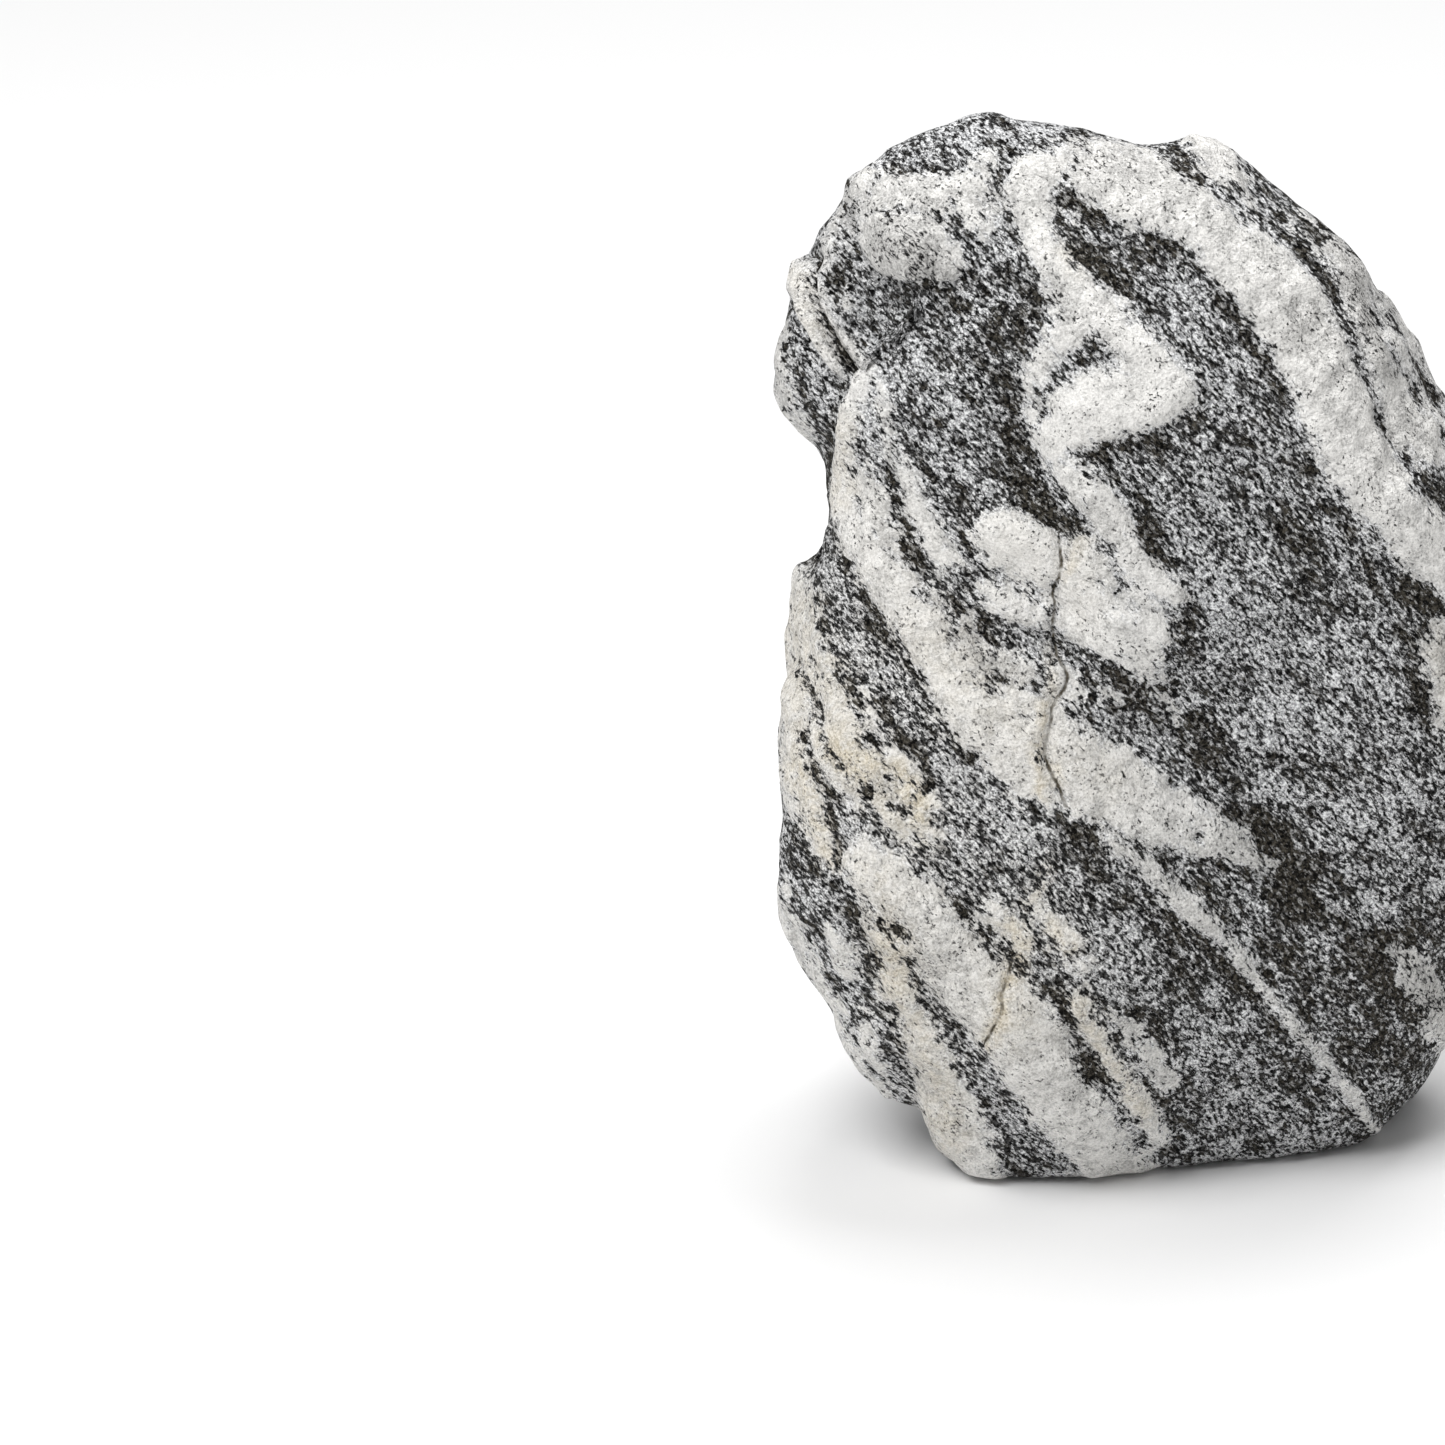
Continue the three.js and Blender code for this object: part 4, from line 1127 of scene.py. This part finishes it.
# %% Fine relief
FINE_STROKES = {
    "lobe upper rib": (
        2.4, 2.8, (-84.5, 98), (-84.3, 90), (-83, 85), (-81, 80.5), (-79.2, 76.5), (-75.5, 70),
    ),
    "crease by the boss": (
        1.5, -2.8, (-72.5, 108), (-71.8, 103), (-71, 99), (-69, 95), (-66.5, 92), (-62, 89.5),
    ),
    "lobe seam": (1.6, -2, (-86, 87), (-84, 82), (-80, 74.5), (-76, 68)),
    "boss": (7, 2.6, (-62, 103), (-55, 99)),
    "hollow under the boss": (6, -1.8, (-64, 88), (-52, 89), (-38, 91)),
    "valley of the dark streak": (5, -1.8, (-33, 74), (-30, 58), (-26, 43), (-19, 33)),
    "foot of the wedge": (5, -1.2, (0, 49), (10, 52), (20, 62)),
    "ledge at the lobe": (9, -2.4, (-66, 75), (-69, 70), (-72.5, 64), (-74, 57), (-75.2, 50)),
    "lobe groove": (
        1.7, -3.4, (-81, 99), (-81.5, 90), (-80.3, 86), (-78.4, 83), (-75, 77.3), (-71, 71),
    ),
    "lobe lower rib": (1.6, 1.8, (-79, 94.5), (-78.3, 88), (-76.5, 84.5), (-72.7, 77.3), (-69.5, 72.8)),
    "seam beside the crack": (1.5, 0.9, *SEAM),
    "groove under the knob": (
        1.6, -1.2, (-39, 18), (-34, 17.5), (-29.5, 15), (-24, 13.6), (-19.5, 14.5),
    ),
}
CRACK = [
    (-17.8, 27), (-17.3, 21), (-18.3, 17), (-19.6, 14), (-19.1, 10), (-19.8, 6), (-19.6, 2),
    (-18.8, -1), (-17, -4), (-16, -7), (-16.8, -10), (-18.5, -12.5), (-20, -15), (-20.1, -19),
    (-21.1, -22), (-21.7, -26), (-21, -29), (-19.8, -32), (-18.2, -35), (-16.5, -39),
]
FOOT_CRACK = [(-29.5, -78), (-30.5, -82), (-32.3, -87), (-32, -91), (-34.4, -95), (-36.3, -98.5)]
CRACK_HALF = 1.6
CRACK_DEEP = 1.0
CRACK_REACH = 3
PROUD = 1.1
CUT_IN = 0.3
# Lumps are (height, size, seed), and ribs are (height, thickness, length, seed).
LUMPS = [(1.5, 17, 20), (1.4, 8.5, 21), (0.7, 4.4, 22)]
RIBS = [(0.34, 3.2, 15, 23), (0.2, 1.9, 8, 24)]
LUMPS_IN_DARK = 0.4
RIBS_IN_PALE = 0.35
PIT_DEEP = 0.5
PIT_SIZE = 3.1

proud = PROUD * (smooth(-1.5, 2.5, edge) - 0.5)
pale = smooth(-1.5, 1.5, edge)
lumps = sum(height * noise(place / size, seed) for height, size, seed in LUMPS)
lumps = mix(LUMPS_IN_DARK, 1, pale) * lumps
ribs = mix(1, RIBS_IN_PALE, pale) * layered(RIBS)
pits = -PIT_DEEP * pale * smooth(0.45, 0.9, noise(place / PIT_SIZE, 25))
fine = proud + lumps + ribs + pits + on_face * drawn_relief(FINE_STROKES, *drawn) - CUT_IN
print("before the cracks, mm:", fine.min().round(2), "to", fine.max().round(2))

# %% The cracks
from_crack = np.full(len(place), np.inf)
right_of_crack = np.zeros(len(place), bool)
for line in (CRACK, FOOT_CRACK):
    distance, right = from_line(*drawn, line)
    right_of_crack = np.where(distance < from_crack, right, right_of_crack)
    from_crack = np.minimum(from_crack, distance)
fine = fine - on_face * CRACK_DEEP * np.exp(-((from_crack / CRACK_HALF) ** 2))
by_crack = on_face * (1 - smooth(0.5 * CRACK_REACH, CRACK_REACH, from_crack))
crack = np.where(right_of_crack, from_crack, -from_crack)
print("fine relief, mm:", fine.min().round(2), "to", fine.max().round(2))

# %% [markdown]
# ## The finished surface
#
# The swells, the ripple and the fine relief move each point along the outward direction.
# Then the stone is set down: whatever would reach below the ground becomes flat, with a
# short curve up to the sides, and the middle of the foot comes to the origin. Where a lump
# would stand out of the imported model's box, the whole stone is drawn in by that hair.

# %% The finished surface
FOOT_EDGE = 6
INSIDE = 0.1


def settled(height):
    """0 below the ground, and a parabola that joins 0 to the height just above it."""
    curve = (height + FOOT_EDGE) ** 2 / (4 * FOOT_EDGE)
    return np.where(height <= -FOOT_EDGE, 0, np.where(height < FOOT_EDGE, curve, height))


surface = swelled + normal * fine[:, None] - FOOT_CENTRE
surface[:, 2] = settled(surface[:, 2])
level = surface[:, :2]
low, high = np.array(cad_box)[:, :2] / MM
room = np.minimum((low + INSIDE) / level.min(axis=0), (high - INSIDE) / level.max(axis=0))
surface[:, :2] = level * np.minimum(1, room)
print("stone, mm:", np.ptp(surface, axis=0).round(1), "lowest", surface[:, 2].min())

# %% The piece
mesh = bpy.data.meshes.new("banded_stone")
mesh.from_pydata(surface * MM, [], cells)
mesh.shade_smooth()
numbers = {
    "edge": edge, "shade": shade, "warmth": warmth, "ragged": ragged,
    "crack": crack, "by_crack": by_crack,
}
for name, values in numbers.items():
    mesh.attributes.new(name, "FLOAT", "POINT").data.foreach_set("value", values)
stone = bpy.data.objects.new("banded_stone", mesh)
bpy.context.collection.objects.link(stone)
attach(stone, "root")
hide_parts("stone")
print("piece:", len(mesh.vertices), "points with", list(numbers))

# %% [markdown]
# ## The material: bands into grains
#
# Gneiss is a mosaic of grains under a millimetre across, and black mica lies among them in
# wisps along the sheets. What changes from band to band is the share of mica. So the
# material works out that share at each place, and noise as fine as the grains decides
# which of them are mica. The border of a band is then made of grains, as it is on the
# real stone.
#
# Everything is measured in the stone's own space, so the grain stays put from all sides.

# %% Helpers for shader nodes
gneiss = bpy.data.materials.new("gneiss")
gneiss.use_nodes = True
tree = gneiss.node_tree
tree.nodes.clear()


def node(kind, output, inputs, **settings):
    """Adds a shader node and gives back one of its outputs.

    inputs says for each socket either a plain value or another node's output.
    """
    made = tree.nodes.new("ShaderNode" + kind)
    for name, value in settings.items():
        setattr(made, name, value)
    for socket, value in inputs.items():
        if isinstance(value, bpy.types.NodeSocket):
            tree.links.new(value, made.inputs[socket])
        else:
            made.inputs[socket].default_value = value
    return made.outputs[output]


def maths(operation, first, second=0.0, third=0.0):
    """One step of arithmetic, such as MULTIPLY_ADD: first times second plus third."""
    return node("Math", 0, {0: first, 1: second, 2: third}, operation=operation)


def climb(value, low, high, start=0.0, end=1.0):
    """An S-shaped climb from start, where the value is low, to end, where it is high."""
    inputs = {0: value, 1: low, 2: high, 3: start, 4: end}
    return node("MapRange", 0, inputs, interpolation_type="SMOOTHSTEP")


def blend(share, low, high):
    """A colour between two: low where the share is 0 and high where it is 1."""
    return node("Mix", 2, {0: share, 6: low, 7: high}, data_type="RGBA")


def shade_of(level, warm=0):
    """A grey of that brightness as a screen shows it, 0 to 255, with that much less blue."""
    shown = [level / 255, (level - 0.33 * warm) / 255, (level - warm) / 255]
    return (*[(c / 12.92 if c < 0.04 else ((c + 0.055) / 1.055) ** 2.4) for c in shown], 1)


def attribute(name):
    """A number that the mesh carries at each point."""
    return node("Attribute", "Fac", {}, attribute_name=name)


print("a mid grey as the renderer counts it:", round(shade_of(128)[0], 3))

# %% Coordinates in millimetres
SHEET_STRETCH = 2.4

metres = node("TexCoord", "Object", {})
in_mm = node("VectorMath", 0, {0: metres, "Scale": 1 / MM}, operation="SCALE")


def along_axis(axis, size):
    """How many sizes a place lies along an axis of the stone."""
    return node("VectorMath", "Value", {0: in_mm, 1: tuple(axis / size)}, operation="DOT_PRODUCT")


unit_across = BAND_ACROSS / np.linalg.norm(BAND_ACROSS)
with_sheets = node("CombineXYZ", 0, {
    0: along_axis(unit_across, 1),
    1: along_axis(first_along, SHEET_STRETCH),
    2: along_axis(second_along, SHEET_STRETCH),
})


def cloud(size, detail=2.0, roughness=0.5, where=None, distortion=0.0):
    """Smooth noise round 0, mostly within 0.25, with features of that size in mm."""
    inputs = {
        "Vector": where or in_mm,
        "Scale": 1 / size,
        "Detail": detail,
        "Roughness": roughness,
        "Distortion": distortion,
    }
    return maths("SUBTRACT", node("TexNoise", 0, inputs), 0.5)


print("noise is stretched along the sheets by", SHEET_STRETCH)

# %% [markdown]
# ## The share of mica
#
# The mesh carries how far inside a pale band a place is. Clouds of a few sizes are added to
# that distance, so that the border of a band wanders by a millimetre or two, and more
# clouds make mica gather in clots and streaks within a band.

# %% The share of mica
DARK_SHARE = 0.535
PALE_SHARE = -0.36
MOST_SHARE = 0.86
BORDER = (-2.4, 1.9)
COARSE_FRAY = 8.0
FINE_FRAY = 11.0
SHADE_WEIGHT = 1.5
CLOTS = 1.4
DRIFTS = 0.9

edge_mm = attribute("edge")
fraying = maths("MULTIPLY", cloud(6, 3.0, 0.65), COARSE_FRAY)
fraying = maths("MULTIPLY_ADD", cloud(1.9, 2.0, 0.65, with_sheets), FINE_FRAY, fraying)
wander = maths("MULTIPLY_ADD", fraying, attribute("ragged"), edge_mm)
paleness = climb(wander, *BORDER)
share = climb(wander, *BORDER, DARK_SHARE, PALE_SHARE)
# The shades add to the share of mica, and with them the painted shade in creases, hollows and grooves.
share = maths("MULTIPLY_ADD", attribute("shade"), SHADE_WEIGHT, share)
share = maths("MULTIPLY_ADD", cloud(2.6, 3.0, 0.6, with_sheets), CLOTS, share)
share = maths("MULTIPLY_ADD", cloud(8, 2.0, 0.5, with_sheets), DRIFTS, share)
share = maths("MINIMUM", share, MOST_SHARE)
print("share of mica from", PALE_SHARE, "in pale bands to", DARK_SHARE, "in dark ones")

# %% [markdown]
# ## Mica
#
# The fine noise is as wide as a grain and stretched along the sheets. Where it falls below
# the share there is mica, and the passage is soft, because a picture never quite parts
# grains as small as these. Pale bands have scattered flecks too, in loose swarms, and a
# hairline of shadow follows the bottom of a crack.

# %% Mica
GRAIN = 0.8
GRAIN_SPREAD = 4.7
SOFTNESS = 0.31

grain = cloud(GRAIN, 3.0, 0.68, with_sheets, 0.25)
grain_in_share = maths("MULTIPLY_ADD", grain, -GRAIN_SPREAD, share)
mica = climb(grain_in_share, 0.5 - SOFTNESS, 0.5 + SOFTNESS)
flecks = climb(cloud(0.8, 1.0), 0.1, 0.17)
gathered = climb(cloud(5, 2.0, 0.5), -0.06, 0.18, 0.05, 0.95)
mica = maths("MAXIMUM", mica, maths("MULTIPLY", flecks, gathered))
print("grain noise from", GRAIN, "mm down to", GRAIN / 8, "mm")

# %% The hairline in the cracks
crack_mm = maths("MULTIPLY_ADD", cloud(2, 2.0, 0.6), 1.0, attribute("crack"))
hairline = climb(maths("ABSOLUTE", crack_mm), 0.1, 0.6, 1.0, 0.0)
hairline = maths("MULTIPLY", hairline, climb(cloud(5, 2.0, 0.6), -0.2, 0.1, 0.2, 1.0))
hairline = maths("MULTIPLY", hairline, attribute("by_crack"))
print("material nodes so far:", len(tree.nodes))

# %% [markdown]
# ## Colours
#
# Mica isn't one black, and quartz isn't one white. Mica is near black, and olive brown
# where it is thickest. The pale grains are milky in the bands and greyer among the mica.
# Where the mesh says so they are stained the colour of cream, as along the crack.

# %% Colours
tone = climb(cloud(0.65, 2.0, 0.7), -0.14, 0.15)
mica_tone = climb(cloud(1.0, 3.0, 0.75), -0.1, 0.22)
# Where a shade is strong the pale grains turn greyer, painted shade as well as mica.
cloudy = maths("MULTIPLY_ADD", attribute("shade"), 0.8, cloud(3.2, 3.0, 0.6))
cloudy = climb(cloudy, -0.1, 0.22)
mica_colour = blend(mica_tone, shade_of(0), shade_of(82, 1))
olive_colour = blend(mica_tone, shade_of(2, 1), shade_of(84, 15))
mica_colour = blend(climb(share, 0.62, 0.95), mica_colour, olive_colour)
clear_colour = blend(tone, shade_of(148, -3), shade_of(246, -1))
milky_colour = blend(tone, shade_of(218, 5), shade_of(243, 5))
greyish_colour = blend(tone, shade_of(170, 4), shade_of(216, 4))
milky_colour = blend(cloudy, milky_colour, greyish_colour)
dim_colour = blend(tone, shade_of(94, 5), shade_of(174, 4))
clear_colour = blend(climb(share, 0.55, 0.95), clear_colour, dim_colour)
pale_colour = blend(paleness, clear_colour, milky_colour)
stain = maths("MULTIPLY", attribute("warmth"), climb(cloud(3, 2.0, 0.6), -0.2, 0.15, 0.35, 1.0))
pale_colour = blend(stain, pale_colour, blend(tone, shade_of(184, 30), shade_of(232, 22)))
pale_colour = blend(hairline, pale_colour, shade_of(84, 20))
stone_colour = blend(mica, pale_colour, mica_colour)
print("colour nodes so far:", len(tree.nodes))

# %% [markdown]
# ## Bumps and gloss
#
# Anything finer than the mesh is bump: lumps of a few grains, mica that sits lower than
# quartz, and a fine tooth over all. Worn gneiss is matt, but mica flakes and quartz faces
# glint a little.

# %% The finished material
height = maths("MULTIPLY", cloud(0.5, 2.0, 0.6), 0.3)
height = maths("MULTIPLY_ADD", cloud(2.6, 3.0, 0.65), 1.5, height)
height = maths("MULTIPLY_ADD", mica, -0.16, height)
height = maths("MULTIPLY_ADD", hairline, -0.5, height)
bump = node("Bump", 0, {"Strength": 1.0, "Distance": MM, "Height": height})
roughness = climb(cloud(0.7, 1.0), 0.08, 0.2, 0.88, 0.6)
finish = node("BsdfPrincipled", 0, {
    "Base Color": stone_colour,
    "Roughness": roughness,
    "Specular IOR Level": 0.08,
    "Normal": bump,
})
output = tree.nodes.new("ShaderNodeOutputMaterial")
tree.links.new(finish, output.inputs["Surface"])
mesh.materials.append(gneiss)
print("material nodes:", len(tree.nodes))

# %% [markdown]
# ## Floor, light and camera
#
# The picture is high-key: a white floor that runs out of sight, a large soft light from
# the upper left and in front, a weaker one overhead and behind, and white all round. The
# floor shows only where the stone keeps light off it.

# %% Floor
FLOOR_RADIUS = 5
FLOOR_SIDES = 96
PAPER_WHITE = 0.9

turn = np.linspace(0, math.tau, FLOOR_SIDES, endpoint=False)
ring = FLOOR_RADIUS * np.stack([np.cos(turn), np.sin(turn), np.zeros(FLOOR_SIDES)], axis=1)
floor_mesh = bpy.data.meshes.new("floor")
floor_mesh.from_pydata(ring, [], [list(range(FLOOR_SIDES))])
floor = bpy.data.objects.new("floor", floor_mesh)
bpy.context.collection.objects.link(floor)
paper = bpy.data.materials.new("white_paper")
paper.use_nodes = True
paper_finish = paper.node_tree.nodes["Principled BSDF"]
paper_finish.inputs["Base Color"].default_value = (PAPER_WHITE, PAPER_WHITE, PAPER_WHITE, 1)
paper_finish.inputs["Roughness"].default_value = 0.9
paper_finish.inputs["Specular IOR Level"].default_value = 0.2
floor_mesh.materials.append(paper)
floor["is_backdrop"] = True
print("floor across, m:", 2 * FLOOR_RADIUS)

# %% Light
ROOM_LIGHT = 0.285
KEY_WATTS = 46.5
TOP_WATTS = 29
AIM = Vector((0, 0, 0.13))

world = bpy.data.worlds.new("white_room")
world.use_nodes = True
background = world.node_tree.nodes["Background"]
background.inputs["Color"].default_value = (1, 1, 1, 1)
background.inputs["Strength"].default_value = ROOM_LIGHT
bpy.context.scene.world = world


def soft_light(name, where, size, power):
    """A square lamp of that size in metres that faces the middle of the stone."""
    lamp = bpy.data.lights.new(name, "AREA")
    lamp.size = size
    lamp.energy = power
    shown = bpy.data.objects.new(name, lamp)
    shown.location = where
    way = AIM - shown.location
    shown.rotation_euler = way.to_track_quat("-Z", "Y").to_euler()
    bpy.context.collection.objects.link(shown)


soft_light("key", (-0.9, -1.0, 2.1), 1.2, KEY_WATTS)
soft_light("top", (0.3, 0.6, 2.2), 1.4, TOP_WATTS)
bpy.context.scene.view_settings.view_transform = "Standard"

# %% Camera
SENSOR = 36
# The picture is this many mm of the board across.
PICTURE_WIDTH = 361.25

camera = bpy.data.cameras.new("camera")
camera.sensor_width = SENSOR
camera.lens = SENSOR * EYE_DISTANCE / PICTURE_WIDTH
camera.clip_start = 0.05
camera.clip_end = 50
camera_object = bpy.data.objects.new("camera", camera)
camera_object.location = eye * MM
camera_object.rotation_euler = (math.pi / 2 - BOARD_LEAN, 0, 0)
bpy.context.collection.objects.link(camera_object)
bpy.context.scene.camera = camera_object
print("lens, mm:", round(camera.lens, 1))

# %% [markdown]
# ## Size and finish
#
# The dressed stone has to stay inside the imported model's box. Both boxes are printed
# side by side.

# %% Size and finish
boxes = {"cad": cad_box, "visual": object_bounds()}
for name, (low, high) in boxes.items():
    print(name, "mm:", [round(1000 * x, 1) for x in low], "to", [round(1000 * x, 1) for x in high])
